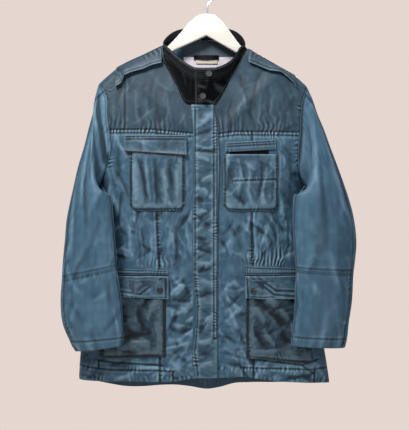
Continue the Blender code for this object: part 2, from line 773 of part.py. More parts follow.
def make_neck_inside():
    """What shows inside the neck lies on the inner face of the back."""
    part = np.linspace(0.0, 1.0, 13)
    xs = NECK_FACING["right"] + (NECK_FACING["left"] - NECK_FACING["right"]) * part
    seam = np.interp(xs, *zip(*(BACK_NECK_RIGHT + BACK_NECK_LEFT[-2::-1]))) - NECK_FACING["below_seam"]
    fall = np.linspace(0.0, 1.0, 5)[:, None]
    x = np.tile(xs, (len(fall), 1))
    z = seam*(1 - fall) + NECK_FACING["low"]*fall
    neck_layer("neck_facing", x, z, LIFT + 0.5, PATCH, "facing")
    x, z = box_grid(xs[0], xs[-1], NECK_FACING["low"] - 1.5, NECK_FACING["lining_low"], 13, 5)
    neck_layer("neck_lining", x, z, LIFT, PATCH, "lining")
    on_lining = 2 * LIFT + PATCH
    x, z = box_grid(-33, 27, -164, -174, 8, 2)
    arch = np.sin(np.linspace(0, math.pi, 8))[None, :] * np.full((2, 1), -LOOP_ARCH)
    neck_layer("hanging_loop", x, z, on_lining, PATCH, "collar", arch)
    x, z = box_grid(-28, 24, -176, -184, 6, 2)
    neck_layer("neck_tape", x, z, on_lining, TAPE, "tape")


# ---------------------------------------------------------------- snaps
def make_snap(name, x, z, lift, radius=7.6):
    """A domed metal snap cap that lies on the cloth."""
    step = 4.0
    y = float(front_y(x, z))
    along_x = np.array([2*step, float(front_y(x + step, z) - front_y(x - step, z)), 0.0])
    along_z = np.array([0.0, float(front_y(x, z + step) - front_y(x, z - step)), 2*step])
    out = np.cross(along_x, along_z)
    out /= np.linalg.norm(out)
    place_snap(name, np.array([x, y, z]) + out * lift, out, radius)


def place_snap(name, base, out, radius):
    profile = [
        # radius share, height
        (1.0, 0.0), (1.0, 1.0), (0.88, 1.6), (0.5, 2.1), (0.0, 2.3),
    ]
    side_a = np.cross(out, (0.0, 0.0, 1.0))
    side_a /= np.linalg.norm(side_a)
    side_b = np.cross(out, side_a)
    mesh = bpy.data.meshes.new(name)
    work = bmesh.new()
    sides = 16
    rings = []
    for share, height in profile[:-1]:
        ring = []
        for k in range(sides):
            turn = 2 * math.pi * k / sides
            spoke = side_a * math.cos(turn) + side_b * math.sin(turn)
            ring.append(work.verts.new((base + spoke * radius * share + out * height) * MM))
        rings.append(ring)
    top = work.verts.new((base + out * profile[-1][1]) * MM)
    work.faces.new(rings[0])
    for low, high in zip(rings, rings[1:]):
        for k in range(sides):
            n = (k + 1) % sides
            work.faces.new((low[k], low[n], high[n], high[k]))
    for k in range(sides):
        work.faces.new((rings[-1][k], rings[-1][(k + 1) % sides], top))
    bmesh.ops.recalc_face_normals(work, faces=work.faces)
    work.to_mesh(mesh)
    work.free()
    add_piece(name, mesh, "snap")


def make_snaps():
    make_snap("snap_flap_right", -111, -726, 2 * LIFT + 2.2 + 2.0 + 0.7)
    make_snap("snap_flap_left", 108, -726, 2 * LIFT + 2.2 + 2.0 + 1.0)
    tilt = np.array([0.0, -1.0, 0.22])
    tilt /= np.linalg.norm(tilt)
    place_snap("snap_collar", np.array([3.0, -69.6, -224.0]), tilt, 7.6)
    place_snap("snap_throat", np.array([-11.0, -58.6, -274.0]), tilt, 7.6)


# ---------------------------------------------------------------- hanger
def make_hanger():
    outline = [(x, z) for x, z in HANGER_TOP] + [(x, z) for x, z in HANGER_LOWER]
    outline += [(-x, z) for x, z in reversed(HANGER_LOWER[:-1])]
    outline += [(-x, z) for x, z in reversed(HANGER_TOP[1:])]
    mesh = bpy.data.meshes.new("hanger_wood")
    work = bmesh.new()
    front = [work.verts.new((x * MM, -HANGER_THICK / 2 * MM, z * MM)) for x, z in outline]
    face = work.faces.new(front)
    moved = bmesh.ops.extrude_face_region(work, geom=[face])["geom"]
    back = [part for part in moved if isinstance(part, bmesh.types.BMVert)]
    bmesh.ops.translate(work, verts=back, vec=(0.0, HANGER_THICK * MM, 0.0))
    apex = Vector((0.0, 0.0, HANGER_TOP[0][1] * MM))
    tilt = Matrix.Rotation(math.radians(HANGER_TILT), 3, "Y")
    bmesh.ops.rotate(work, verts=work.verts, cent=apex, matrix=tilt)
    bmesh.ops.recalc_face_normals(work, faces=work.faces)
    work.to_mesh(mesh)
    work.free()
    wood = add_piece("hanger_wood", mesh, "wood")
    bevel = wood.modifiers.new("rounded edges", "BEVEL")
    bevel.width = 3.0 * MM
    bevel.segments = 2
    bevel.limit_method = "ANGLE"
    bevel.angle_limit = math.radians(60)


def hook_route():
    """Up the stem, out to one side, and round over the top."""
    middle = HOOK_WIRE / 2 - HOOK_RADIUS
    route = [(0.0, HANGER_TOP[0][1] + 0.4), (0.0, HOOK_STEM_Z - 6.0), (0.0, HOOK_STEM_Z)]
    route += [(2.2, HOOK_STEM_Z + 5.0), (7.2, HOOK_STEM_Z + 10.5)]
    for degrees in range(-40, 196, 12):
        turn = math.radians(degrees)
        route.append((HOOK_RADIUS * math.cos(turn), middle + HOOK_RADIUS * math.sin(turn)))
    return route


def make_hook():
    curve = bpy.data.curves.new("hanger_hook", "CURVE")
    curve.dimensions = "3D"
    curve.bevel_depth = HOOK_WIRE / 2 * MM
    curve.bevel_resolution = 2
    curve.use_fill_caps = True
    route = hook_route()
    spline = curve.splines.new("POLY")
    spline.points.add(len(route) - 1)
    for point, (x, z) in zip(spline.points, route):
        point.co = (x * MM, 0.0, z * MM, 1.0)
    hook = bpy.data.objects.new("hanger_hook", curve)
    bpy.context.collection.objects.link(hook)
    curve.materials.append(finish("wire"))


# ---------------------------------------------------------------- the whole jacket
def seam_line(side, shift):
    """The princess seam's x by height, moved towards one side of it."""
    table = PRINCESS_RIGHT if side < 0 else PRINCESS_LEFT
    return lambda z: float(straight_curve(table, 0, 1, z)) + shift


def centre_line(side):
    return lambda z: CENTRE_X + side*SEAM/2


def make_jacket():
    for side, word in ((-1, "right"), (1, "left")):
        make_yoke("front_yoke_" + word, side)
        make_front("front_side_" + word, side, side_x(side), seam_line(side, side*SEAM/2), 12, 1.45)
        make_front("front_centre_" + word, side, seam_line(side, -side*SEAM/2), centre_line(side), 8, 1.0)
        make_back("back_" + word, side)
        make_sleeve(side, word)
        make_shoulder_flap(side, word)
        make_lower(side, word)
    make_collar()
    make_placket()
    make_chest_right()
    make_chest_left()
    make_neck_inside()
    make_snaps()
    make_hanger()
    make_hook()


for old in list(bpy.data.objects):
    bpy.data.objects.remove(old, do_unlink=True)
make_jacket()
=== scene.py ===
import math

import bpy
import numpy as np
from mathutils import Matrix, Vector


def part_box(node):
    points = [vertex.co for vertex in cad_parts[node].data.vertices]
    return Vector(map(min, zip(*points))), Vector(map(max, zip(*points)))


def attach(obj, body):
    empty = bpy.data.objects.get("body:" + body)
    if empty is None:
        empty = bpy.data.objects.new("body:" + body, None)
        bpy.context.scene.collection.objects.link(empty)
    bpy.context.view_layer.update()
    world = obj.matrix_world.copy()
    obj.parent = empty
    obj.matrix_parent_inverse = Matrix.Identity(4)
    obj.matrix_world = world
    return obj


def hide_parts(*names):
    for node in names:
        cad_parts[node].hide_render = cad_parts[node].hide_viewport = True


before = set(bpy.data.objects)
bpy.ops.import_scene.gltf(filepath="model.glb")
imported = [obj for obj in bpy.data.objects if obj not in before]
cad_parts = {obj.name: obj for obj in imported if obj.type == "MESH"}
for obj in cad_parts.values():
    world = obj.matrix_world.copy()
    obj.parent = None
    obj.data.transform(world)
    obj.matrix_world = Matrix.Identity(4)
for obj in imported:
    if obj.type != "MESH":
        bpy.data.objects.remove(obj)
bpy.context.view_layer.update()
print("frame loaded, nodes:", len(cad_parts))

mm = 0.001

# ---- the photograph's view: level, in front of the chest
eye = {"place": (-0.00705, -1.935, -0.5499), "lens": 71.2, "sensor": 36.0}
cameraData = bpy.data.cameras.new("front view")
cameraData.lens = eye["lens"]
cameraData.sensor_fit = "HORIZONTAL"
cameraData.sensor_width = eye["sensor"]
camera = bpy.data.objects.new("front view", cameraData)
camera.location = eye["place"]
camera.rotation_euler = (math.radians(90), 0, 0)
bpy.context.scene.collection.objects.link(camera)
bpy.context.scene.camera = camera

# ---- the jacket's form, in millimetres; -X is the wearer's right
jacket = {
    "wall": 2.0, "patch": 1.6, "seamGap": 0.5, "lift": 1.3, "centre": -5.0, "underarm": -484.0,
    "edgeRound": 120.0, "topRound": 27.0, "backRound": 60.0,
    "shoulder": [  # x, z
        (-300, -275), (-262, -240), (-245, -224), (-224, -206), (-211, -196),
        (-183, -182), (-152, -168), (-109, -147), (-60, -120), (0, -98),
        (40, -116), (97, -153), (120, -168), (147, -183), (171, -197),
        (197, -211), (213, -221), (230, -236), (241, -248), (280, -285),
    ],
    "body": [  # z, right edge, left edge, seam y, front depth, back depth
        (-90, -300, 280, 0, 24, 24), (-200, -300, 280, 0, 27, 28), (-285, -297, 276, 2, 38, 38),
        (-350, -292, 270, 8, 42, 43), (-400, -281, 259, 15, 43, 46), (-440, -268, 244, 20, 43, 47),
        (-484, -258, 231, 24, 42, 48), (-602, -270, 240, 26, 40, 47), (-690, -280, 250, 26, 38, 46),
        (-743, -286, 257, 25, 37, 46), (-876, -306, 283, 21, 36, 44), (-990, -312, 300, 18, 36, 42),
    ],
    "armhole": {
        -1: [(-238, -259), (-250, -247), (-274, -236), (-314, -235), (-357, -230), (-393, -227),
             (-434, -236), (-462, -248), (-484, -258)],
        1: [(-243, 236), (-252, 232), (-274, 224), (-314, 218), (-357, 216), (-393, 212),
            (-434, 214), (-462, 221), (-484, 231)],
    },
    "neck": {
        -1: [(-107, -146), (-105, -180), (-88, -213), (-69, -248), (-51, -284), (-28, -288), (-5, -289)],
        1: [(97, -153), (83, -178), (68, -203), (54, -226), (40, -250), (16, -286), (-5, -289)],
    },
    "backNeck": {
        -1: [(-107, -146), (-88, -141), (-60, -134), (-32, -129), (-5, -127)],
        1: [(97, -153), (76, -145), (50, -136), (22, -130), (-5, -127)],
    },
    "yokeSeam": [(-300, -347), (-128, -347), (-48, -355), (20, -358), (67, -352), (280, -353)],
    "frontHem": [
        (-312, -944), (-260, -942), (-212, -941), (-105, -943), (-80, -941), (-32, -934),
        (6, -934), (80, -930), (163, -941), (230, -945), (270, -948), (300, -953),
    ],
    "backHem": [
        (-312, -945), (-260, -957), (-213, -966), (-67, -965), (-41, -968), (0, -974),
        (28, -970), (66, -960), (104, -958), (200, -957), (300, -954),
    ],
    "princess": {
        -1: [(-347, -116), (-552, -117), (-670, -112), (-943, -110)],
        1: [(-353, 102), (-552, 101), (-670, 104), (-943, 106)],
    },
}

# the broad folds that the cloth hangs in: x0, z0, x1, z1, half width, height (a ridge where positive)
broadFolds = {
    "front": [
        (-205, -560, -150, -700, 20, 4.0), (-128, -548, -146, -690, 15, -3.5),
        (-84, -560, -92, -690, 16, 4.5),
        (-60, -520, -64, -700, 12, -3.5), (56, -560, 64, -690, 14, 4.0), (82, -556, 90, -700, 11, -3.5),
        (128, -552, 122, -690, 17, 4.5), (168, -540, 182, -700, 14, -3.5), (-250, -640, -205, -760, 18, 4.0),
        (-190, -740, -230, -930, 20, 4.5), (-150, -750, -120, -930, 15, -3.5),
        (-62, -700, -70, -930, 14, 4.5),
        (62, -700, 66, -925, 13, 4.0), (120, -750, 175, -900, 17, -4.0), (196, -740, 240, -925, 20, 4.5),
        (-190, -215, -70, -330, 16, 3.0), (160, -222, 60, -325, 15, 3.0), (-215, -470, -140, -540, 16, 3.0),
    ],
    "back": [
        (-190, -300, -150, -640, 26, 4.5), (-110, -240, -90, -560, 22, -3.5), (-60, -480, -66, -900, 24, 4.5),
        (44, -420, 60, -880, 24, 4.0), (108, -260, 90, -600, 22, -4.0), (180, -320, 150, -660, 26, 4.5),
        (-200, -640, -220, -920, 24, 4.0), (-140, -660, -150, -930, 20, -4.0),
        (130, -650, 150, -930, 22, -3.5),
        (205, -640, 220, -910, 22, 4.0), (-170, -640, 160, -680, 20, -3.0),
    ],
}


def smoothCurve(table, key, value, at):
    rows = sorted(table, key=lambda row: row[key])
    xs = np.array([row[key] for row in rows], dtype=float)
    ys = np.array([row[value] for row in rows], dtype=float)
    slopes = np.gradient(ys, xs)
    at = np.clip(np.asarray(at, dtype=float), xs[0], xs[-1])
    spot = np.clip(np.searchsorted(xs, at) - 1, 0, len(xs) - 2)
    width = xs[spot + 1] - xs[spot]
    t = (at - xs[spot]) / width
    return (ys[spot] * (2*t**3 - 3*t**2 + 1) + slopes[spot] * width * (t**3 - 2*t**2 + t)
            + ys[spot + 1] * (3*t**2 - 2*t**3) + slopes[spot + 1] * width * (t**3 - t**2))


def straightCurve(table, key, value, at):
    rows = sorted(table, key=lambda row: row[key])
    return np.interp(at, [row[key] for row in rows], [row[value] for row in rows])


def quarterRound(distance, reach):
    inside = np.clip(np.asarray(distance) / reach, 0.0, 1.0)
    return np.sqrt(1.0 - (1.0 - inside)**2)


# a repeatable soft noise over the cloth, from -1 to 1
noiseTables = {}


def softNoise(x, z, size, seed):
    if seed not in noiseTables:
        noiseTables[seed] = np.random.RandomState(seed).uniform(-1, 1, (64, 64))
    table = noiseTables[seed]
    u, v = np.asarray(x) / size, np.asarray(z) / size
    iu, iv = np.floor(u).astype(int), np.floor(v).astype(int)
    fu, fv = u - iu, v - iv
    fu, fv = fu * fu * (3 - 2*fu), fv * fv * (3 - 2*fv)
    a, b = table[iu % 64, iv % 64], table[(iu + 1) % 64, iv % 64]
    c, d = table[iu % 64, (iv + 1) % 64], table[(iu + 1) % 64, (iv + 1) % 64]
    return (a*(1 - fu) + b*fu)*(1 - fv) + (c*(1 - fu) + d*fu)*fv


# a few layers of the soft noise, each turned and finer than the last
def crumpled(x, z, size, seed):
    total = np.zeros(np.broadcast(x, z).shape)
    for layer in range(3):
        turn = 0.6 + 1.1*layer
        u = x*math.cos(turn) - z*math.sin(turn)
        v = x*math.sin(turn) + z*math.cos(turn)
        total = total + softNoise(u, v, size / 1.9**layer, seed + layer) * 0.6**layer
    return total


def alongAcross(x, z, x0, z0, x1, z1):
    run = max(math.hypot(x1 - x0, z1 - z0), 0.01)
    along = ((x - x0)*(x1 - x0) + (z - z0)*(z1 - z0)) / run
    across = ((x - x0)*(z1 - z0) - (z - z0)*(x1 - x0)) / run
    return run, along, across


# broad soft folds, even on both sides
def broadFoldsAt(table, x, z):
    total = np.zeros(np.broadcast(x, z).shape)
    for x0, z0, x1, z1, halfWidth, height in table:
        run, along, across = alongAcross(x, z, x0, z0, x1, z1)
        beyond = np.maximum(np.maximum(-along, along - run), 0.0)
        total = total + height * np.exp(-(across / halfWidth)**2) * np.exp(-(beyond / (1.8*halfWidth))**2)
    return total


# creases with a steep side and a slack side, that bend a little and die out at both ends
def creasesAt(table, x, z, wander=0.0, seed=1, size=1.0):
    if wander:
        x = x + wander * (softNoise(x, z, 38, seed) + 0.5*softNoise(x, z, 13, seed + 2))
        z = z + wander * (softNoise(x, z, 44, seed + 1) + 0.5*softNoise(x, z, 15, seed + 3))
    total = np.zeros(np.broadcast(x, z).shape)
    for number, (x0, z0, x1, z1, halfWidth, height) in enumerate(table):
        run, along, across = alongAcross(x, z, x0, z0, x1, z1)
        share = np.clip(along / run, 0.0, 1.0)
        across = across - 0.06*run*math.sin(2.4*number + seed) * np.sin(math.pi*share)
        steep, slack = (0.5, 1.3) if (number + seed) % 2 else (1.3, 0.5)
        width = halfWidth * size * np.where(across > 0, steep, slack)
        total = total + height * np.exp(-(np.abs(across) / width)**1.35) * np.sin(math.pi*share)**0.7
    return total


# many small creases over an area: right, left, low, top, how many, lean from upright in degrees, height
def strewn(areas, seed, lengths=(12, 48), halfWidths=(2.0, 4.6)):
    dice = np.random.RandomState(seed)
    creases = []
    for right, left, low, top, count, lean, height in areas:
        for _ in range(count):
            length = dice.uniform(*lengths)
            turn = math.radians(dice.normal(lean, 30))
            x, z = dice.uniform(right, left), dice.uniform(low, top)
            dx, dz = math.sin(turn)*length/2, math.cos(turn)*length/2
            creases.append((x - dx, z - dz, x + dx, z + dz, dice.uniform(*halfWidths),
                            dice.choice((-1, 1)) * height * dice.uniform(0.4, 1.2)))
    return creases


# small ridges square to a row of stitches, as sewing draws the cloth up:
# x0, z0, x1, z1, reach, pitch, height
def puckersAt(table, x, z, seed=11):
    total = np.zeros(np.broadcast(x, z).shape)
    for number, (x0, z0, x1, z1, reach, pitch, height) in enumerate(table):
        run, along, across = alongAcross(x, z, x0, z0, x1, z1)
        beyond = np.maximum(np.maximum(-along, along - run), 0.0)
        sway = softNoise(along, across + 300*number, 19, seed + number)
        lean = softNoise(along, across, 60, seed + number + 5)
        wave = np.sin(2*math.pi * (along + 0.3*across*lean) / pitch + 4.2*sway)
        strength = np.clip(0.5 + 1.1*softNoise(along, across*0, 27, seed + number + 9), 0.0, 1.3)
        longer = reach * (0.75 + 0.5*softNoise(along, across*0, 9, seed + number + 13))
        fade = np.exp(-(np.abs(across) / longer)**1.6) * np.exp(-(beyond / pitch)**2)
        total = total + height * wave * strength * fade
    return total


# the shallow groove that each row of stitches presses in
def groovesAt(table, x, z, depth=0.6, halfWidth=1.5):
    total = np.zeros(np.broadcast(x, z).shape)
    for x0, z0, x1, z1 in table:
        run, along, across = alongAcross(x, z, x0, z0, x1, z1)
        inside = (along > -1) & (along < run + 1)
        total = total - depth * np.exp(-(across / halfWidth)**2) * inside
    return total


# 1 on a row of stitches, where the material darkens the cloth as painted shade in the groove;
# below 0 on the rubbed cloth beside it, which is wear
def seamMark(table, x, z):
    mark = np.zeros(np.broadcast(x, z).shape)
    for x0, z0, x1, z1 in table:
        run, along, across = alongAcross(x, z, x0, z0, x1, z1)
        inside = (along > -1) & (along < run + 1)
        away = np.abs(across)
        here = np.where(inside, np.exp(-(away / 1.7)**2) - 0.4*np.exp(-((away - 4.5) / 2.4)**2), 0.0)
        mark = np.where(np.abs(here) > np.abs(mark), here, mark)
    return mark


def seamY(z):
    return smoothCurve(jacket["body"], 0, 3, z)


def fullness(x, z, edgeReach):
    right = smoothCurve(jacket["body"], 0, 1, z)
    left = smoothCurve(jacket["body"], 0, 2, z)
    drop = straightCurve(jacket["shoulder"], 0, 1, x) - z
    return quarterRound(np.minimum(x - right, left - x), edgeReach) * quarterRound(drop, jacket["topRound"])


def frontY(x, z):
    full = fullness(x, z, jacket["edgeRound"])
    flat = seamY(z)
    out = flat - (flat + smoothCurve(jacket["body"], 0, 4, z)) * full
    return np.minimum(out - broadFoldsAt(broadFolds["front"], x, z) * full, flat - jacket["seamGap"]/2)


def backY(x, z):
    full = fullness(x, z, jacket["backRound"])
    flat = seamY(z)
    out = flat + (smoothCurve(jacket["body"], 0, 5, z) - flat) * full
    return np.maximum(out + broadFoldsAt(broadFolds["back"], x, z) * full, flat + jacket["seamGap"]/2)


def yokeZ(x):
    return straightCurve(jacket["yokeSeam"], 0, 1, x)


def armholeX(side, z):
    return smoothCurve(jacket["armhole"][side], 0, 1, z) - side*jacket["seamGap"]/2


def sideX(side, z):
    z = np.asarray(z, dtype=float)
    sideSeam = smoothCurve(jacket["body"], 0, 1 if side < 0 else 2, z)
    return np.where(z >= jacket["underarm"], armholeX(side, z), sideSeam)


def princessX(side, z):
    return straightCurve(jacket["princess"][side], 0, 1, z)

# ---- creases of the front, from the photograph: x0, z0, x1, z1, half width, height
frontCreases = [
    # yokes
    (-168, -250, -160, -342, 7, 1.8), (-146, -262, -141, -342, 6, 1.6), (-120, -250, -118, -344, 6, -1.6),
    (-98, -240, -84, -345, 8, 2.0), (-72, -262, -42, -318, 9, -2.4), (-58, -300, -40, -350, 6, 1.6),
    (-200, -258, -206, -344, 7, -1.6), (-222, -290, -222, -344, 5, 1.6),
    (62, -262, 52, -346, 7, -1.8), (86, -238, 80, -348, 8, 1.8), (108, -250, 104, -350, 6, -2.0),
    (122, -262, 126, -350, 5, 2.2), (140, -262, 146, -350, 5, -2.4), (156, -258, 160, -350, 6, 2.4),
    (178, -262, 180, -350, 6, -2.0), (198, -262, 196, -350, 6, 1.8), (30, -300, 44, -350, 7, -1.6),
    # chest, beside the pockets
    (-206, -372, -222, -480, 9, -2.4), (-228, -400, -208, -500, 8, 2.2), (-240, -470, -200, -560, 8, 2.0),
    (196, -372, 190, -540, 8, -2.4), (176, -372, 180, -560, 6, 2.4), (208, -420, 204, -660, 6, 2.6),
    (-44, -380, -40, -520, 5, 1.2), (30, -380, 32, -540, 5, -1.4),
    # waist
    (-58, -548, -34, -592, 9, -3.2), (-44, -560, -40, -640, 7, 2.4), (-100, -552, -76, -640, 12, 2.6),
    (-180, -552, -176, -660, 9, 2.2), (-160, -560, -150, -664, 7, -2.2), (-134, -574, -132, -666, 6, 1.8),
    (-214, -520, -226, -664, 8, -2.6), (-238, -560, -238, -668, 6, 2.2),
    (34, -640, 72, -584, 10, 3.0), (30, -600, 64, -560, 8, -2.6), (44, -560, 78, -640, 8, -2.2),
    (120, -560, 128, -668, 7, -2.2), (138, -560, 142, -668, 6, 2.4), (154, -572, 160, -668, 5, -2.6),
    (170, -560, 174, -668, 5, 2.8), (184, -540, 186, -668, 5, -2.6), (196, -560, 198, -668, 5, 2.4),
    # beside and below the placket
    (-88, -690, -52, -728, 8, 2.6), (-62, -700, -40, -742, 7, -2.8), (-84, -752, -36, -744, 8, -3.0),
    (-90, -738, -46, -712, 8, 2.6), (-86, -790, -40, -770, 9, 2.4), (-92, -812, -42, -822, 9, -2.2),
    (-96, -840, -44, -860, 10, 2.4), (-76, -872, -40, -900, 8, -2.0), (-88, -884, -60, -924, 8, 1.8),
    (28, -744, 72, -698, 9, 2.8), (34, -776, 84, -724, 8, -2.8), (40, -810, 86, -760, 8, 2.6),
    (30, -830, 70, -850, 8, -2.4), (34, -860, 92, -880, 9, 2.2), (40, -900, 96, -912, 8, -1.8),
]
# on the lower pockets and the cloth round them
pocketCreases = {
    -1: [
        (-236, -712, -196, -762, 9, 3.2), (-214, -706, -176, -744, 7, -3.0), (-150, -708, -186, -746, 8, 2.8),
        (-126, -716, -160, -770, 8, -2.8), (-112, -748, -140, -800, 8, 2.8),
        (-240, -764, -196, -806, 9, -2.8),
        (-236, -800, -188, -836, 9, 3.0), (-198, -838, -128, -826, 8, -2.8), (-214, -862, -130, -848, 8, 2.8),
        (-168, -760, -150, -826, 8, -2.4), (-206, -868, -160, -876, 6, -2.0),
        (-122, -800, -110, -868, 6, 2.2),
    ],
    1: [
        (116, -712, 134, -738, 8, 3.2), (134, -738, 164, -768, 7, 3.4), (164, -768, 192, -802, 7, 3.2),
        (192, -802, 214, -836, 7, 2.6), (110, -736, 142, -776, 7, -3.0), (142, -776, 176, -818, 7, -3.2),
        (176, -818, 200, -852, 8, -2.6), (104, -770, 128, -812, 8, 2.6), (128, -812, 160, -856, 8, 2.4),
        (104, -812, 132, -860, 7, -2.4), (186, -722, 206, -760, 7, -2.6), (206, -760, 226, -800, 7, 2.6),
        (100, -872, 170, -868, 7, 2.0), (226, -820, 236, -880, 7, -2.2),
    ],
}
chestCreases = {
    -1: [
        (-164, -410, -146, -530, 9, -3.6), (-142, -410, -134, -520, 7, 3.0),
        (-122, -414, -116, -530, 6, -2.4),
        (-104, -440, -100, -530, 6, 2.4), (-84, -414, -80, -500, 7, -2.0), (-70, -440, -76, -520, 6, 2.2),
        (-176, -430, -168, -520, 6, 2.2),
    ],
    1: [
        (58, -424, 50, -500, 9, -3.4), (76, -430, 70, -520, 7, 2.6), (60, -500, 88, -530, 8, -2.6),
        (98, -430, 104, -530, 7, 2.8), (120, -424, 118, -520, 7, -2.6), (138, -440, 134, -530, 6, 2.4),
        (84, -424, 112, -448, 7, 2.2), (150, -430, 152, -520, 5, -2.0),
    ],
}
placketCreases = [
    (-24, -346, 14, -310, 7, 2.6), (-30, -362, 12, -352, 6, -2.2), (-34, -400, 24, -404, 6, -3.4),
    (-30, -386, 20, -390, 6, 2.4), (-34, -414, 4, -424, 6, 2.2), (-16, -472, 10, -458, 6, 2.6),
    (-28, -494, -14, -487, 5, 2.8), (-14, -487, 2, -506, 5, 2.8), (2, -506, 16, -510, 5, 2.2),
    (-30, -508, -6, -516, 6, -2.6), (-26, -546, 2, -538, 6, 2.4), (-6, -566, 8, -572, 5, -2.6),
    (4, -582, 18, -592, 6, 2.4), (-32, -600, 0, -606, 7, -2.4), (-28, -624, 14, -640, 8, -3.0),
    (-24, -660, 14, -668, 7, 3.0), (-26, -684, 14, -672, 6, -2.6), (-22, -700, 18, -716, 8, 2.2),
    (-28, -742, 16, -730, 8, -2.2), (-14, -812, 14, -780, 7, 3.2), (-20, -830, 4, -800, 6, -3.0),
    (-22, -850, 12, -838, 7, 2.6), (-26, -876, 16, -880, 7, -2.0), (-24, -904, 12, -896, 7, 1.8),
]
print("form and crease tables ready")


# ---- rows of stitches on the front: they press a groove, darken it with painted shade and carry the thread
def yokeRows(below):
    line = jacket["yokeSeam"]
    return [(x0, z0 - below, x1, z1 - below) for (x0, z0), (x1, z1) in zip(line, line[1:])]


def princessRows(side, outside):
    line = jacket["princess"][side]
    return [(x0 + side*outside, z0, x1 + side*outside, z1) for (z0, x0), (z1, x1) in zip(line, line[1:])]


hemRows = [
    (-310, -908, -258, -912), (-258, -912, -78, -917), (-258, -893, -105, -904), (-257, -893, -257, -912),
    (-81, -917, -81, -942), (78, -908, 134, -910), (134, -910, 300, -915), (97, -887, 222, -903),
    (222, -903, 264, -892), (222, -903, 253, -926), (253, -908, 253, -946), (85, -907, 85, -933),
]
sewn = {
    "yoke": {-1: [(-194, -226, -194, -346)], 1: []},
    "centre": {side: yokeRows(3.2) + yokeRows(10.5) + hemRows for side in (-1, 1)},
    "side": {side: yokeRows(3.2) + yokeRows(10.5) + princessRows(side, 3.0) + hemRows for side in (-1, 1)},
}

frontPuckers = [
    (-252, -354, -128, -354, 9, 7.6, 1.5), (-128, -354, -48, -362, 9, 7.4, 1.5),
    (20, -365, 67, -359, 9, 7.4, 1.5),
    (67, -359, 216, -360, 9, 7.8, 1.5), (-252, -336, -48, -342, 24, 12, 0.55),
    (20, -348, 216, -342, 28, 11, 0.65),
    (-252, -661, -92, -663, 20, 9.0, 1.25), (86, -657, 226, -659, 24, 8.5, 1.35),
    (-312, -913, -34, -914, 9, 9, 0.9), (22, -910, 300, -916, 9, 9, 0.9),
    (-312, -936, -34, -932, 8, 11, 0.7), (22, -928, 300, -944, 8, 11, 0.7),
    (-238, -259, -232, -330, 11, 9, 1.2), (-232, -330, -230, -430, 10, 9, 1.0),
    (-232, -430, -256, -484, 10, 9, 0.8),
    (234, -250, 220, -300, 11, 9, 1.2), (220, -300, 214, -430, 11, 9, 1.2),
    (214, -430, 229, -484, 10, 9, 0.8),
] + [(x0, z0, x1, z1, 6, 7.6, 0.9) for side in (-1, 1) for x0, z0, x1, z1 in princessRows(side, 0.0)]

frontStrewn = strewn([
    (-236, -60, -344, -215, 34, 6, 0.45), (60, 212, -350, -215, 30, -4, 0.5),
    (-236, -190, -640, -370, 20, 8, 0.6), (-190, -40, -660, -545, 34, 0, 0.7),
    (24, 200, -660, -545, 34, 4, 0.75),
    (170, 232, -600, -370, 20, 0, 0.6), (-96, -30, -930, -680, 60, 62, 1.0),
    (24, 92, -930, -680, 54, -58, 1.0),
    (-300, -92, -940, -885, 30, 70, 0.7), (88, 300, -940, -890, 30, 76, 0.7),
    (-52, -34, -660, -370, 12, 20, 0.5),
], 301)
frontFlowing = strewn([
    (-236, -60, -344, -225, 10, 4, 1.0), (60, 212, -350, -225, 10, -4, 1.1),
    (-236, -180, -660, -370, 10, 6, 1.5),
    (-180, -44, -662, -548, 14, 0, 1.2), (28, 196, -662, -548, 16, 0, 1.3), (176, 230, -660, -370, 8, 0, 1.2),
    (-92, -36, -930, -690, 14, 40, 1.3), (30, 92, -930, -690, 12, -36, 1.3),
    (-300, -92, -940, -890, 12, 76, 1.0),
    (88, 300, -940, -895, 12, 76, 1.2),
], 311, (34, 96), (4.0, 8.5))


def frontDetail(x, z):
    low = np.clip((-z - 520) / 240, 0.0, 1.0)
    return (0.75*creasesAt(frontCreases, x, z, 4.0, 21, 1.1)*(0.5 + 0.35*low)
            + (0.9 - 0.35*low)*creasesAt(frontStrewn, x, z, 2.5, 25) + creasesAt(frontFlowing, x, z, 3.0, 26)
            + puckersAt(frontPuckers, x, z) + (0.16 + 0.16*low) * crumpled(x, z, 17, 62))

# cloth under a pocket, flap or the placket lies flat, so that nothing pokes through
covered = [  # x0, x1, top, bottom
    (-184, -50, -364, -541), (36, 168, -372, -542), (-252, -96, -672, -886), (90, 232, -668, -890),
    (-36, 25, -290, -934),
]


def underPatch(x, z):
    hidden = np.zeros(np.broadcast(x, z).shape)
    for x0, x1, top, low in covered:
        inside = np.minimum(np.minimum(x - x0, x1 - x), np.minimum(top - z, z - low))
        hidden = np.maximum(hidden, np.clip(inside / 3.0, 0.0, 1.0))
    return hidden


# ---- cloth as grids of points
def facesOf(rows, columns, ring):
    i, j = np.meshgrid(np.arange(rows - 1), np.arange(columns if ring else columns - 1), indexing="ij")
    k = (j + 1) % columns
    return np.stack([i*columns + j, i*columns + k, (i + 1)*columns + k, (i + 1)*columns + j],
                    axis=2).reshape(-1, 4)


def normalsOf(grid, facing, ring=False):
    if ring:
        wide = np.concatenate([grid[:, -1:], grid, grid[:, :1]], axis=1)
        across = wide[:, 2:] - wide[:, :-2]
    else:
        across = np.gradient(grid, axis=1)
    normals = np.cross(across, np.gradient(grid, axis=0)) * facing
    return normals / np.maximum(np.linalg.norm(normals, axis=2, keepdims=True), 1e-9)


def blurred(field, steps, ring=False):
    for axis in (0, 1):
        pad = [(0, 0), (0, 0)]
        pad[axis] = (steps, steps)
        wide = np.pad(field, pad, mode="wrap" if ring and axis == 1 else "edge")
        total = np.cumsum(np.insert(wide, 0, 0.0, axis=axis), axis=axis)
        count = 2*steps + 1
        size = field.shape[axis]
        high = np.take(total, np.arange(count, count + size), axis=axis)
        low = np.take(total, np.arange(size), axis=axis)
        field = (high - low) / count
    return field


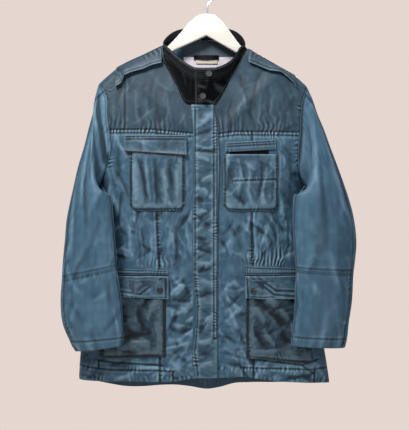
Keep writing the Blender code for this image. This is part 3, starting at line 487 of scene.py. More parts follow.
# a thin closed wall: an outer face, an inner face and the rim between them
def clothWall(name, outer, inner, material, relief, flatXY, ring=False, edges=None):
    rows, columns = outer.shape[:2]
    count = rows * columns
    quads = facesOf(rows, columns, ring)
    faces = [quads, quads[:, ::-1] + count]
    i = np.arange(rows - 1)
    j = np.arange(columns if ring else columns - 1)
    k = (j + 1) % columns
    last = (rows - 1) * columns
    faces.append(np.stack([k, j, j + count, k + count], axis=1))
    faces.append(np.stack([last + j, last + k, last + k + count, last + j + count], axis=1))
    if not ring:
        a, b = i*columns, (i + 1)*columns
        faces.append(np.stack([a, b, b + count, a + count], axis=1))
        a, b = a + columns - 1, b + columns - 1
        faces.append(np.stack([b, a, a + count, b + count], axis=1))
    faces = np.concatenate(faces)
    points = np.concatenate([outer.reshape(-1, 3), inner.reshape(-1, 3)]) * mm
    a, b, c = points[faces[0, 0]], points[faces[0, 1]], points[faces[0, 2]]
    if np.dot(np.cross(b - a, c - a), points[0] - points[count]) < 0:
        faces = faces[:, ::-1]
    mesh = bpy.data.meshes.new(name)
    mesh.from_pydata(points.tolist(), [], faces.tolist())
    uv = mesh.uv_layers.new(name="cloth")
    flat = np.concatenate([flatXY.reshape(-1, 2)]*2) * mm
    uv.data.foreach_set("uv", flat[faces.reshape(-1)].astype(np.float32).ravel())
    for label, field in (("ridge", relief), ("seam", edges)):
        values = np.zeros(2*count) if field is None else np.concatenate([field.ravel(), field.ravel()*0])
        mesh.attributes.new(label, "FLOAT", "POINT").data.foreach_set("value", values.astype(np.float32))
    mesh.materials.append(material)
    mesh.shade_smooth()
    mesh.set_sharp_from_angle(angle=math.radians(62))
    made = bpy.data.objects.new(name, mesh)
    bpy.context.scene.collection.objects.link(made)
    return made


# how far each point stands above the cloth round it, from -1 to 1;
# the material darkens the hollows with it as painted shade and lightens the crests
def reliefOf(height, steps, ring=False, gain=1.0):
    fine = height - blurred(height, steps, ring)
    broad = blurred(height, 1, ring) - blurred(height, 4*steps, ring)
    return np.clip((fine + 0.7*broad) * gain, -1.0, 1.0)


def dressed(made, nodes):
    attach(made, "root")
    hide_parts(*nodes)
    return made


def areaOf(grid):
    a, b = grid[:-1, :-1], grid[1:, 1:]
    c, d = grid[1:, :-1], grid[:-1, 1:]
    return float(np.linalg.norm(np.cross(b - a, c - d), axis=2).sum() / 2) * mm * mm

# ---- shader groups shared by the materials
def groupOf(name, inputs, outputs):
    group = bpy.data.node_groups.new(name, "ShaderNodeTree")
    for label, kind, value in inputs:
        socket = group.interface.new_socket(name=label, in_out="INPUT", socket_type=kind)
        socket.default_value = value
    for label, kind in outputs:
        group.interface.new_socket(name=label, in_out="OUTPUT", socket_type=kind)
    return group, group.nodes.new("NodeGroupInput"), group.nodes.new("NodeGroupOutput")


def mathNode(nodes, links, operation, first, second, clamp=False):
    node = nodes.new("ShaderNodeMath")
    node.operation = operation
    node.use_clamp = clamp
    for socket, value in zip(node.inputs, (first, second)):
        if isinstance(value, (int, float)):
            socket.default_value = value
        else:
            links.new(value, socket)
    return node.outputs[0]


# a plain weave from two crossed sets of threads, laid out by the cloth's own flat millimetres
def weaveGroup():
    group, given, out = groupOf(
        "cloth weave",
        [("Threads per metre", "NodeSocketFloat", 900.0), ("Slub", "NodeSocketFloat", 0.5)],
        [("Height", "NodeSocketFloat"), ("Thread", "NodeSocketFloat")],
    )
    nodes, links = group.nodes, group.links
    flat = nodes.new("ShaderNodeUVMap")
    flat.uv_map = "cloth"
    scaled = nodes.new("ShaderNodeVectorMath")
    scaled.operation = "SCALE"
    links.new(flat.outputs["UV"], scaled.inputs[0])
    links.new(given.outputs["Threads per metre"], scaled.inputs["Scale"])
    split = nodes.new("ShaderNodeSeparateXYZ")
    links.new(scaled.outputs["Vector"], split.inputs[0])
    warp = mathNode(nodes, links, "SINE", mathNode(nodes, links, "MULTIPLY", split.outputs["X"], math.pi),
                    0.0)
    weft = mathNode(nodes, links, "SINE", mathNode(nodes, links, "MULTIPLY", split.outputs["Y"], math.pi),
                    0.0)
    crossed = mathNode(nodes, links, "MULTIPLY", warp, weft)
    slub = nodes.new("ShaderNodeTexNoise")
    slub.inputs["Scale"].default_value = 0.11
    slub.inputs["Detail"].default_value = 3.0
    links.new(scaled.outputs["Vector"], slub.inputs["Vector"])
    uneven = mathNode(nodes, links, "MULTIPLY", slub.outputs["Fac"], given.outputs["Slub"])
    height = mathNode(nodes, links, "ADD", mathNode(nodes, links, "ABSOLUTE", crossed, 0.0), uneven)
    links.new(height, out.inputs["Height"])
    links.new(mathNode(nodes, links, "MULTIPLY_ADD", crossed, 0.5), out.inputs["Thread"])
    return group


# faded crests and darker hollows, from how far the cloth stands above its surroundings.
# The lighter crests are wear and partly painted highlight, the rubbed cloth beside stitches is wear,
# and the darker hollows and stitch rows are painted shade.
def wearAndShadeGroup():
    group, given, out = groupOf(
        "fold wear and shade",
        [("Crest", "NodeSocketFloat", 1.0), ("Hollow", "NodeSocketFloat", 1.0)],
        [("Wear and highlight", "NodeSocketFloat"), ("Painted shade", "NodeSocketFloat")],
    )
    nodes, links = group.nodes, group.links
    ridge = nodes.new("ShaderNodeAttribute")
    ridge.attribute_name = "ridge"
    rub = nodes.new("ShaderNodeTexNoise")
    rub.inputs["Scale"].default_value = 90.0
    rub.inputs["Detail"].default_value = 5.0
    place = nodes.new("ShaderNodeTexCoord")
    links.new(place.outputs["Object"], rub.inputs["Vector"])
    broken = mathNode(nodes, links, "MULTIPLY_ADD", rub.outputs["Fac"], 1.3)
    broken.node.inputs[2].default_value = 0.3
    up = mathNode(nodes, links, "MAXIMUM", ridge.outputs["Fac"], 0.0)
    down = mathNode(nodes, links, "MULTIPLY", mathNode(nodes, links, "MINIMUM", ridge.outputs["Fac"], 0.0),
                    -1.0)
    seam = nodes.new("ShaderNodeAttribute")
    seam.attribute_name = "seam"
    onSeam = mathNode(nodes, links, "MAXIMUM", seam.outputs["Fac"], 0.0)
    beside = mathNode(nodes, links, "MAXIMUM", mathNode(nodes, links, "MULTIPLY", seam.outputs["Fac"], -1.0),
                      0.0)
    up = mathNode(nodes, links, "ADD", up, beside)
    # rows of stitches are darkened too: painted shade in their grooves
    down = mathNode(nodes, links, "ADD", down, mathNode(nodes, links, "MULTIPLY", onSeam, 0.9))
    worn = mathNode(nodes, links, "MULTIPLY", mathNode(nodes, links, "MULTIPLY", up, broken),
                    given.outputs["Crest"], clamp=True)
    dark = mathNode(nodes, links, "MULTIPLY", down, given.outputs["Hollow"], clamp=True)
    links.new(worn, out.inputs["Wear and highlight"])
    links.new(dark, out.inputs["Painted shade"])
    return group


# slow uneven colour, as wax and washing leave it
def mottleGroup():
    group, given, out = groupOf(
        "uneven dye",
        [("Size", "NodeSocketFloat", 7.0), ("Streak", "NodeSocketFloat", 0.5)],
        [("Patches", "NodeSocketFloat"), ("Specks", "NodeSocketFloat")],
    )
    nodes, links = group.nodes, group.links
    place = nodes.new("ShaderNodeTexCoord")
    patches = nodes.new("ShaderNodeTexNoise")
    patches.inputs["Detail"].default_value = 6.0
    patches.inputs["Roughness"].default_value = 0.62
    links.new(place.outputs["Object"], patches.inputs["Vector"])
    links.new(given.outputs["Size"], patches.inputs["Scale"])
    stretched = nodes.new("ShaderNodeMapping")
    stretched.inputs["Scale"].default_value = (60.0, 60.0, 7.0)
    links.new(place.outputs["Object"], stretched.inputs["Vector"])
    streaks = nodes.new("ShaderNodeTexNoise")
    streaks.inputs["Scale"].default_value = 1.0
    streaks.inputs["Detail"].default_value = 4.0
    links.new(stretched.outputs["Vector"], streaks.inputs["Vector"])
    mixed = nodes.new("ShaderNodeMix")
    links.new(given.outputs["Streak"], mixed.inputs["Factor"])
    links.new(patches.outputs["Fac"], mixed.inputs["A"])
    links.new(streaks.outputs["Fac"], mixed.inputs["B"])
    specks = nodes.new("ShaderNodeTexNoise")
    specks.inputs["Scale"].default_value = 420.0
    specks.inputs["Detail"].default_value = 2.0
    links.new(place.outputs["Object"], specks.inputs["Vector"])
    links.new(mixed.outputs["Result"], out.inputs["Patches"])
    links.new(specks.outputs["Fac"], out.inputs["Specks"])
    return group


weave = weaveGroup()
foldWearAndShade = wearAndShadeGroup()
unevenDye = mottleGroup()


def groupNode(tree, group, **values):
    node = tree.nodes.new("ShaderNodeGroup")
    node.node_tree = group
    for label, value in values.items():
        node.inputs[label.replace("_", " ")].default_value = value
    return node


def mixColour(tree, factor, first, second):
    node = tree.nodes.new("ShaderNodeMix")
    node.data_type = "RGBA"
    tree.links.new(factor, node.inputs["Factor"])
    for label, value in (("A", first), ("B", second)):
        socket = [s for s in node.inputs if s.name == label and s.type == "RGBA"][0]
        if isinstance(value, tuple):
            socket.default_value = (*value, 1.0)
        else:
            tree.links.new(value, socket)
    return [s for s in node.outputs if s.type == "RGBA"][0]


# every cloth of the jacket: its dyes, faded and dark tones, weave and gloss.
# The waxed copies share one dye: the tone given to each copy is painted light and shade for that part.
def waxed(lightAndShadeTone, crest, hollow, streak, size=9.0):
    return {
        "base": tuple(lightAndShadeTone*c for c in (0.031, 0.078, 0.124)),
        "other": tuple(lightAndShadeTone*c for c in (0.052, 0.114, 0.172)),
        "worn": tuple(lightAndShadeTone*c for c in (0.150, 0.250, 0.330)), "dark": (0.004, 0.009, 0.015),
        "rough": (0.42, 0.62), "threads": 1100.0, "bump": 0.18, "crest": crest, "hollow": hollow,
        "size": size,
        "streak": streak, "sheen": 0.04, "gloss": 0.24,
    }


cloths = {
    "yoke cloth": waxed(0.50, 0.80, 0.85, 0.62),
    "body cloth": waxed(1.04, 0.80, 0.90, 0.58),
    "pocket cloth": waxed(0.82, 0.85, 0.85, 0.58),
    # the darkest copy, for the lower pockets: painted shade
    "shaded low cloth": waxed(0.42, 1.00, 1.10, 0.45),
    "sleeve cloth": waxed(1.18, 0.65, 0.75, 0.70),
    "back cloth": waxed(0.92, 0.75, 1.00, 0.55),
    # near-black: mostly the collar's own dark cloth, set darker still so its tall front, down over the throat
    # hollow, also paints the shade there
    "collar cloth": {
        "base": (0.0012, 0.0016, 0.0023), "other": (0.0036, 0.0044, 0.0058), "worn": (0.052, 0.060, 0.070),
        "dark": (0.0004, 0.0004, 0.0006), "rough": (0.66, 0.86), "threads": 1300.0, "bump": 0.20,
        "crest": 0.6, "hollow": 0.9, "size": 14.0, "streak": 0.3, "sheen": 0.0, "gloss": 0.06,
    },
    "facing cloth": {
        "base": (0.040, 0.062, 0.082), "other": (0.060, 0.088, 0.110), "worn": (0.120, 0.160, 0.190),
        "dark": (0.010, 0.015, 0.020), "rough": (0.60, 0.75), "threads": 1000.0, "bump": 0.20,
        "crest": 0.5, "hollow": 0.8, "size": 8.0, "streak": 0.4, "sheen": 0.08,
    },
    "lining cloth": {
        "base": (0.560, 0.520, 0.600), "other": (0.680, 0.640, 0.700), "worn": (0.800, 0.780, 0.820),
        "dark": (0.250, 0.230, 0.290), "rough": (0.45, 0.60), "threads": 1500.0, "bump": 0.10,
        "crest": 0.5, "hollow": 0.7, "size": 10.0, "streak": 0.5, "sheen": 0.05,
    },
    "tape cloth": {
        "base": (0.500, 0.430, 0.350), "other": (0.600, 0.530, 0.450), "worn": (0.700, 0.650, 0.580),
        "dark": (0.200, 0.160, 0.130), "rough": (0.60, 0.75), "threads": 800.0, "bump": 0.20,
        "crest": 0.5, "hollow": 0.7, "size": 12.0, "streak": 0.5, "sheen": 0.05,
    },
    # navy thread, darker than the cloth so that stitch rows also carry the shade of their grooves: partly
    # painted shade
    "thread": {
        "base": (0.014, 0.024, 0.034), "other": (0.026, 0.042, 0.056), "worn": (0.100, 0.140, 0.170),
        "dark": (0.006, 0.010, 0.014), "rough": (0.55, 0.70), "threads": 3000.0, "bump": 0.05,
        "crest": 0.0, "hollow": 0.0, "size": 30.0, "streak": 0.2, "sheen": 0.05,
    },
    "pale thread": {
        "base": (0.075, 0.085, 0.095), "other": (0.120, 0.130, 0.140), "worn": (0.180, 0.190, 0.200),
        "dark": (0.020, 0.022, 0.026), "rough": (0.50, 0.65), "threads": 3000.0, "bump": 0.05,
        "crest": 0.0, "hollow": 0.0, "size": 30.0, "streak": 0.2, "sheen": 0.05,
    },
    "turned edge": {
        "base": (0.060, 0.043, 0.034), "other": (0.110, 0.082, 0.066), "worn": (0.200, 0.160, 0.135),
        "dark": (0.012, 0.009, 0.008), "rough": (0.60, 0.80), "threads": 1200.0, "bump": 0.20,
        "crest": 0.3, "hollow": 0.5, "size": 40.0, "streak": 0.3, "sheen": 0.05,
    },
}


def clothMaterial(name):
    look = cloths[name]
    material = bpy.data.materials.new(name)
    material.use_nodes = True
    tree = material.node_tree
    links = tree.links
    shader = tree.nodes["Principled BSDF"]
    dye = groupNode(tree, unevenDye, Size=look["size"], Streak=look["streak"])
    wearAndShade = groupNode(tree, foldWearAndShade, Crest=look["crest"], Hollow=look["hollow"])
    threads = groupNode(tree, weave, Threads_per_metre=look["threads"], Slub=0.5)
    spread = tree.nodes.new("ShaderNodeMapRange")
    spread.inputs["From Min"].default_value = 0.36
    spread.inputs["From Max"].default_value = 0.64
    links.new(dye.outputs["Patches"], spread.inputs["Value"])
    colour = mixColour(tree, spread.outputs["Result"], look["base"], look["other"])
    fleck = mathNode(tree.nodes, links, "MULTIPLY", threads.outputs["Thread"], 0.22)
    colour = mixColour(tree, fleck, colour, look["dark"])
    colour = mixColour(tree, wearAndShade.outputs["Wear and highlight"], colour, look["worn"])
    colour = mixColour(tree, wearAndShade.outputs["Painted shade"], colour, look["dark"])
    links.new(colour, shader.inputs["Base Color"])
    gloss = tree.nodes.new("ShaderNodeMapRange")
    gloss.inputs["To Min"].default_value = look["rough"][0]
    gloss.inputs["To Max"].default_value = look["rough"][1]
    links.new(dye.outputs["Specks"], gloss.inputs["Value"])
    links.new(gloss.outputs["Result"], shader.inputs["Roughness"])
    bump = tree.nodes.new("ShaderNodeBump")
    bump.inputs["Strength"].default_value = look["bump"]
    bump.inputs["Distance"].default_value = 0.0006
    links.new(threads.outputs["Height"], bump.inputs["Height"])
    links.new(bump.outputs["Normal"], shader.inputs["Normal"])
    shader.inputs["Sheen Weight"].default_value = look["sheen"]
    shader.inputs["Specular IOR Level"].default_value = look.get("gloss", 0.40)
    return material


def hardMaterial(name, base, other, rough, metallic, size, bumpHeight, stretch=(1.0, 1.0, 1.0)):
    material = bpy.data.materials.new(name)
    material.use_nodes = True
    tree = material.node_tree
    links = tree.links
    shader = tree.nodes["Principled BSDF"]
    place = tree.nodes.new("ShaderNodeTexCoord")
    mapped = tree.nodes.new("ShaderNodeMapping")
    mapped.inputs["Scale"].default_value = stretch
    links.new(place.outputs["Object"], mapped.inputs["Vector"])
    grain = tree.nodes.new("ShaderNodeTexNoise")
    grain.inputs["Scale"].default_value = size
    grain.inputs["Detail"].default_value = 7.0
    links.new(mapped.outputs["Vector"], grain.inputs["Vector"])
    spread = tree.nodes.new("ShaderNodeMapRange")
    spread.inputs["From Min"].default_value = 0.38
    spread.inputs["From Max"].default_value = 0.62
    links.new(grain.outputs["Fac"], spread.inputs["Value"])
    links.new(mixColour(tree, spread.outputs["Result"], base, other), shader.inputs["Base Color"])
    gloss = tree.nodes.new("ShaderNodeMapRange")
    gloss.inputs["To Min"].default_value = rough[0]
    gloss.inputs["To Max"].default_value = rough[1]
    links.new(grain.outputs["Fac"], gloss.inputs["Value"])
    links.new(gloss.outputs["Result"], shader.inputs["Roughness"])
    bump = tree.nodes.new("ShaderNodeBump")
    bump.inputs["Strength"].default_value = 0.3
    bump.inputs["Distance"].default_value = bumpHeight
    links.new(grain.outputs["Fac"], bump.inputs["Height"])
    links.new(bump.outputs["Normal"], shader.inputs["Normal"])
    shader.inputs["Metallic"].default_value = metallic
    return material


finishes = {name: clothMaterial(name) for name in cloths}
paintedWood = hardMaterial("painted wood", (0.58, 0.56, 0.52), (0.66, 0.64, 0.60), (0.40, 0.60),
                           0.0, 9.0, 0.0003, (1.0, 6.0, 9.0))
hookWire = hardMaterial("hook wire", (0.42, 0.42, 0.43), (0.58, 0.58, 0.58), (0.22, 0.40),
                        1.0, 300.0, 0.00005)
snapMetal = hardMaterial("blackened snap", (0.008, 0.009, 0.012), (0.022, 0.025, 0.030), (0.50, 0.70),
                         0.2, 220.0, 0.00005)
print("materials ready")


# ---- thread: short spindles laid along a run of points on the cloth
threadWork = {"pitch": 2.9, "half": 1.05, "thick": 0.42, "raise": 0.10}


def runOnCloth(row, surface, facing, rise):
    x0, z0, x1, z1 = row
    count = max(int(math.hypot(x1 - x0, z1 - z0) / 2.0), 2)
    part = np.linspace(0.0, 1.0, count)
    x, z = x0 + (x1 - x0)*part, z0 + (z1 - z0)*part
    slopeX = (surface(x + 2, z) - surface(x - 2, z)) / 4.0
    slopeZ = (surface(x, z + 2) - surface(x, z - 2)) / 4.0
    normals = np.stack([-slopeX, np.ones(count), -slopeZ], axis=1) * facing
    normals /= np.linalg.norm(normals, axis=1, keepdims=True)
    points = np.stack([x, surface(x, z), z], axis=1) + normals * rise(x, z)[:, None]
    return points, normals


# a run read off a grid of points, by row and column
def runOnGrid(grid, normals, rows, columns, ring=False):
    high, wide = grid.shape[:2]
    rows, columns = np.clip(rows, 0, high - 1.001), np.asarray(columns, float)
    columns = columns % wide if ring else np.clip(columns, 0, wide - 1.001)
    i, j = rows.astype(int), columns.astype(int)
    k = (j + 1) % wide
    a, b = (rows - i)[:, None], (columns - j)[:, None]
    found = []
    for field in (grid, normals):
        found.append((field[i, j]*(1 - b) + field[i, k]*b)*(1 - a)
                     + (field[i + 1, j]*(1 - b) + field[i + 1, k]*b)*a)
    return found


def threadMesh(name, runs, finish, pitch=None):
    pitch = pitch or threadWork["pitch"]
    points, faces, base = [], [], 0
    for line, normals in runs:
        steps = np.concatenate([[0.0], np.cumsum(np.linalg.norm(np.diff(line, axis=0), axis=1))])
        middles = np.arange(pitch/2, steps[-1], pitch)
        if len(middles) == 0:
            continue
        at = [np.stack([np.interp(middles + shift, steps, field[:, c]) for c in range(3)], axis=1)
              for shift, field in ((0.0, line), (-0.8, line), (0.8, line), (0.0, normals))]
        centre, back, fore, up = at
        along = fore - back
        along /= np.maximum(np.linalg.norm(along, axis=1, keepdims=True), 1e-6)
        up = up / np.linalg.norm(up, axis=1, keepdims=True)
        across = np.cross(along, up)
        half, thick, lift = threadWork["half"], threadWork["thick"], threadWork["raise"]
        rings = [centre - along*half - up*thick*0.5]
        for reach in (-0.55, 0.55):
            for turn in range(4):
                spoke = across*math.cos(turn*math.pi/2) + up*math.sin(turn*math.pi/2)
                rings.append(centre + along*half*reach + up*lift + spoke*thick)
        rings.append(centre + along*half - up*thick*0.5)
        block = np.stack(rings, axis=1)
        points.append(block.reshape(-1, 3))
        for number in range(len(centre)):
            start = base + number*10
            for turn in range(4):
                after = (turn + 1) % 4
                faces.append((start, start + 1 + after, start + 1 + turn))
                faces.append((start + 1 + turn, start + 1 + after, start + 5 + after, start + 5 + turn))
                faces.append((start + 5 + turn, start + 5 + after, start + 9))
        base += len(centre)*10
    mesh = bpy.data.meshes.new(name)
    mesh.from_pydata((np.concatenate(points) * mm).tolist(), [], faces)
    mesh.materials.append(finish)
    mesh.shade_smooth()
    made = bpy.data.objects.new(name, mesh)
    bpy.context.scene.collection.objects.link(made)
    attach(made, "root")
    return made


threads = {}


def sewOn(name, runs, finish="thread"):
    made = threadMesh("thread_" + name, runs, finishes[finish])
    threads.setdefault(name, []).append(made)

# ---- yokes, fronts and back
def resampled(points, count):
    points = np.array(points, dtype=float)
    steps = np.concatenate([[0.0], np.cumsum(np.linalg.norm(np.diff(points, axis=0), axis=1))])
    at = np.linspace(0.0, steps[-1], count)
    return np.stack([np.interp(at, steps, points[:, c]) for c in range(points.shape[1])], axis=1)


def shoulderRun(side, count):
    outer = float(armholeX(side, jacket["armhole"][side][0][0]))
    inner = jacket["neck"][side][0][0]
    xs = np.linspace(outer, inner, count)
    return [(x, float(straightCurve(jacket["shoulder"], 0, 1, x))) for x in xs]


def smoothRun(points, count):
    points = np.array(points, dtype=float)
    rows = [(n, *point) for n, point in enumerate(points)]
    at = np.linspace(0, len(points) - 1, count)
    return [(float(smoothCurve(rows, 0, 1, t)), float(smoothCurve(rows, 0, 2, t))) for t in at]


def topEdge(side, neck, count):
    points = shoulderRun(side, 30)[:-1] + smoothRun(neck, 30)
    points[-1] = (jacket["centre"] + side*0.04, points[-1][1])
    return resampled(points, count)


# columns that fall from the top edge to a lower seam; the armhole's bow fades out across the panel
def fallingGrid(top, lowerZ, lowEdgeX, side, rows, power):
    share = np.linspace(0.0, 1.0, len(top))
    lowX = lowEdgeX*(1 - share) + top[-1, 0]*share
    lowZ = lowerZ(lowX)
    part = np.linspace(0.0, 1.0, rows)[:, None]**power
    z = top[None, :, 1]*(1 - part) + lowZ[None, :]*part
    x = top[None, :, 0]*(1 - part) + lowX[None, :]*part
    bow = sideX(side, z[:, 0]) - x[:, 0]
    bow[0] = 0.0
    x = x + bow[:, None]*(1 - share[None, :])
    return x, z


def roundedEdge(grid, normals, sides, size=1.0):
    for side in sides:
        cut = {"top": np.s_[0, :], "low": np.s_[-1, :], "first": np.s_[:, 0], "last": np.s_[:, -1]}[side]
        grid[cut] -= normals[cut] * size
    return grid


# the parts of a straight row that lie inside a box, in stretches of about 12 mm
def clipped(row, right, left, low, high):
    x0, z0, x1, z1 = row
    count = max(int(math.hypot(x1 - x0, z1 - z0) / 12.0), 1)
    part = np.linspace(0.0, 1.0, count + 1)
    kept = []
    for a, b in zip(part, part[1:]):
        piece = (x0 + (x1 - x0)*a, z0 + (z1 - z0)*a, x0 + (x1 - x0)*b, z0 + (z1 - z0)*b)
        middleX, middleZ = (piece[0] + piece[2])/2, (piece[1] + piece[3])/2
        if right <= middleX <= left and low <= middleZ <= high:
            kept.append(piece)
    return kept


def onPanel(piece, x, z):
    middleX, middleZ = (piece[0] + piece[2])/2, (piece[1] + piece[3])/2
    right, left = (float(np.interp(-middleZ, -z[:, edge], x[:, edge])) for edge in (0, -1))
    top, low = (float(np.interp(middleX, x[edge], z[edge])) for edge in (0, -1))
    return right + 2 < middleX < left - 2 and low + 1.5 < middleZ < top - 1.5


def bodyPanel(name, x, z, surface, facing, detail, rows, cloth, soft=(), cover=True):
    def rise(px, pz):
        raised = (detail(px, pz) + groovesAt(rows, px, pz)) * fullness(px, pz, 26.0)
        return raised * (1.0 - underPatch(px, pz)) if cover else raised
    base = np.stack([x, surface(x, z), z], axis=2)
    height = rise(x, z)
    normals = normalsOf(base, facing)
    onSeam = np.abs(base[..., 1] - seamY(z)) < 1.0
    normals[onSeam, 1] = 0.0
    normals /= np.linalg.norm(normals, axis=2, keepdims=True)
    outer = base + normals * height[..., None]
    inner = base - normals * jacket["wall"]
    inner += normals * np.minimum(height, 0.0)[..., None]
    outer = roundedEdge(outer, normals, soft)
    mark = seamMark(rows, x, z)
    # the panel's top and side edges are darkened too: painted shade along the seams
    for cut, field in ((np.s_[0, :], 0.9), (np.s_[:, 0], 0.9), (np.s_[:, -1], 0.9)):
        mark[cut] = field
    made = clothWall(name, outer, inner, finishes[cloth], reliefOf(height, 3, gain=0.8),
                     np.stack([x, z], axis=2),
                     edges=mark)
    lowest, highest = z[-1].min(), z[0].max()
    runs = []
    for row in rows:
        for part in clipped(row, x.min() + 1, x.max() - 1, lowest + 2, highest - 2):
            hidden = cover and float(underPatch((part[0] + part[2])/2, (part[1] + part[3])/2)) > 0.5
            if onPanel(part, x, z) and not hidden:
                runs.append(runOnCloth(part, surface, facing, rise))
    if runs:
        sewOn(name, runs)
    return made, areaOf(base)


sheets = {}


def makeYokes():
    for side, word in ((-1, "right"), (1, "left")):
        x, z = fallingGrid(topEdge(side, jacket["neck"][side], 104),
                           lambda px: yokeZ(px) + jacket["seamGap"]/2,
                           float(armholeX(side, -347)), side, 96, 1.2)
        if side > 0:
            x, z = x[:, ::-1], z[:, ::-1]
        made, area = bodyPanel("yoke_" + word, x, z, frontY, -1, frontDetail, sewn["yoke"][side],
                               "yoke cloth")
        sheets["yoke_" + word] = (made, ["front_yoke_" + word], (0.235, 0.215), area)


def frontPanel(name, node, side, outerX, innerX, columns, flatSize, rows):
    part = np.linspace(0.0, 1.0, columns)[None, :]
    fall = np.linspace(0.0, 1.0, 240)[:, None]
    xTop = outerX(-350.0)*(1 - part) + innerX(-350.0)*part
    xHem = outerX(-944.0)*(1 - part) + innerX(-944.0)*part
    top = yokeZ(xTop) - jacket["seamGap"]/2
    hem = straightCurve(jacket["frontHem"], 0, 1, xHem)
    z = top*(1 - fall) + hem*fall
    x = outerX(z)*(1 - part) + innerX(z)*part
    if side > 0:
        x, z = x[:, ::-1], z[:, ::-1]
    made, area = bodyPanel(name, x, z, frontY, -1, frontDetail, rows, "body cloth", soft=("low",))
    sheets[name] = (made, [node], flatSize, area)


def makeFronts():
    gap = jacket["seamGap"]/2
    for side, word in ((-1, "right"), (1, "left")):
        frontPanel("side_front_" + word, "front_side_" + word, side, lambda z: sideX(side, z),
                   lambda z: princessX(side, z) + side*gap, 84, (0.215, 0.605), sewn["side"][side])
        frontPanel("centre_front_" + word, "front_centre_" + word, side,
                   lambda z: princessX(side, z) - side*gap,
                   lambda z: jacket["centre"] + side*gap + 0.0*z, 56, (0.118, 0.595), sewn["centre"][side])

backCreases = [
    (-206, -300, -196, -430, 9, 2.2), (-170, -260, -172, -420, 8, -2.0), (-60, -200, -52, -380, 10, 1.8),
    (40, -200, 36, -400, 10, -1.8), (160, -280, 166, -430, 8, 2.2), (200, -300, 190, -440, 8, -2.2),
    (-220, -520, -150, -600, 9, 2.6), (-190, -560, -110, -640, 8, -2.4), (200, -520, 130, -604, 9, 2.6),
    (176, -560, 100, -640, 8, -2.4), (-240, -700, -180, -780, 9, 2.4), (-160, -700, -150, -860, 9, -2.2),
    (-90, -720, -100, -900, 10, 2.4), (90, -700, 96, -900, 9, 2.4), (160, -720, 150, -880, 9, -2.2),
    (230, -700, 190, -800, 9, 2.6), (-40, -640, 50, -668, 8, -2.0), (-120, -660, -50, -690, 8, 2.0),
]

backRows = {side: [(-312, -932, 300, -932), (-300, -692, 270, -692), (-300, -672, 270, -672),
                   (-5 + side*3.5, -136, -5 + side*3.5, -962)] for side in (-1, 1)}
backPuckers = [
    (-5, -140, -5, -960, 7, 9.0, 0.45), (-290, -682, 262, -682, 13, 9, 0.9),
    (-312, -942, 300, -942, 11, 11, 0.6),
    (-240, -250, -240, -470, 9, 9, 0.5), (220, -250, 220, -470, 9, 9, 0.5),
]
backStrewn = strewn([
    (-230, 210, -500, -170, 60, 5, 0.55), (-260, 240, -680, -500, 70, 30, 0.8),
    (-290, 270, -930, -690, 90, 20, 0.8),
], 302)


def backDetail(x, z):
    return (0.5*creasesAt(backCreases, x, z, 4.0, 31) + creasesAt(backStrewn, x, z, 2.5, 35)
            + puckersAt(backPuckers, x, z, 41) + 0.3*crumpled(x, z, 18, 72))


def makeBacks():
    for side, word in ((-1, "right"), (1, "left")):
        x, z = fallingGrid(topEdge(side, jacket["backNeck"][side], 78),
                           lambda px: smoothCurve(jacket["backHem"], 0, 1, px),
                           float(sideX(side, -945)), side, 190, 1.1)
        if side > 0:
            x, z = x[:, ::-1], z[:, ::-1]
        made, area = bodyPanel("back_half_" + word, x, z, backY, 1, backDetail, backRows[side], "back cloth",
                               soft=("low",), cover=False)
        sheets["back_half_" + word] = (made, ["back_" + word], (0.305, 0.84), area)


makeYokes()
makeFronts()
makeBacks()
print("body panels made")
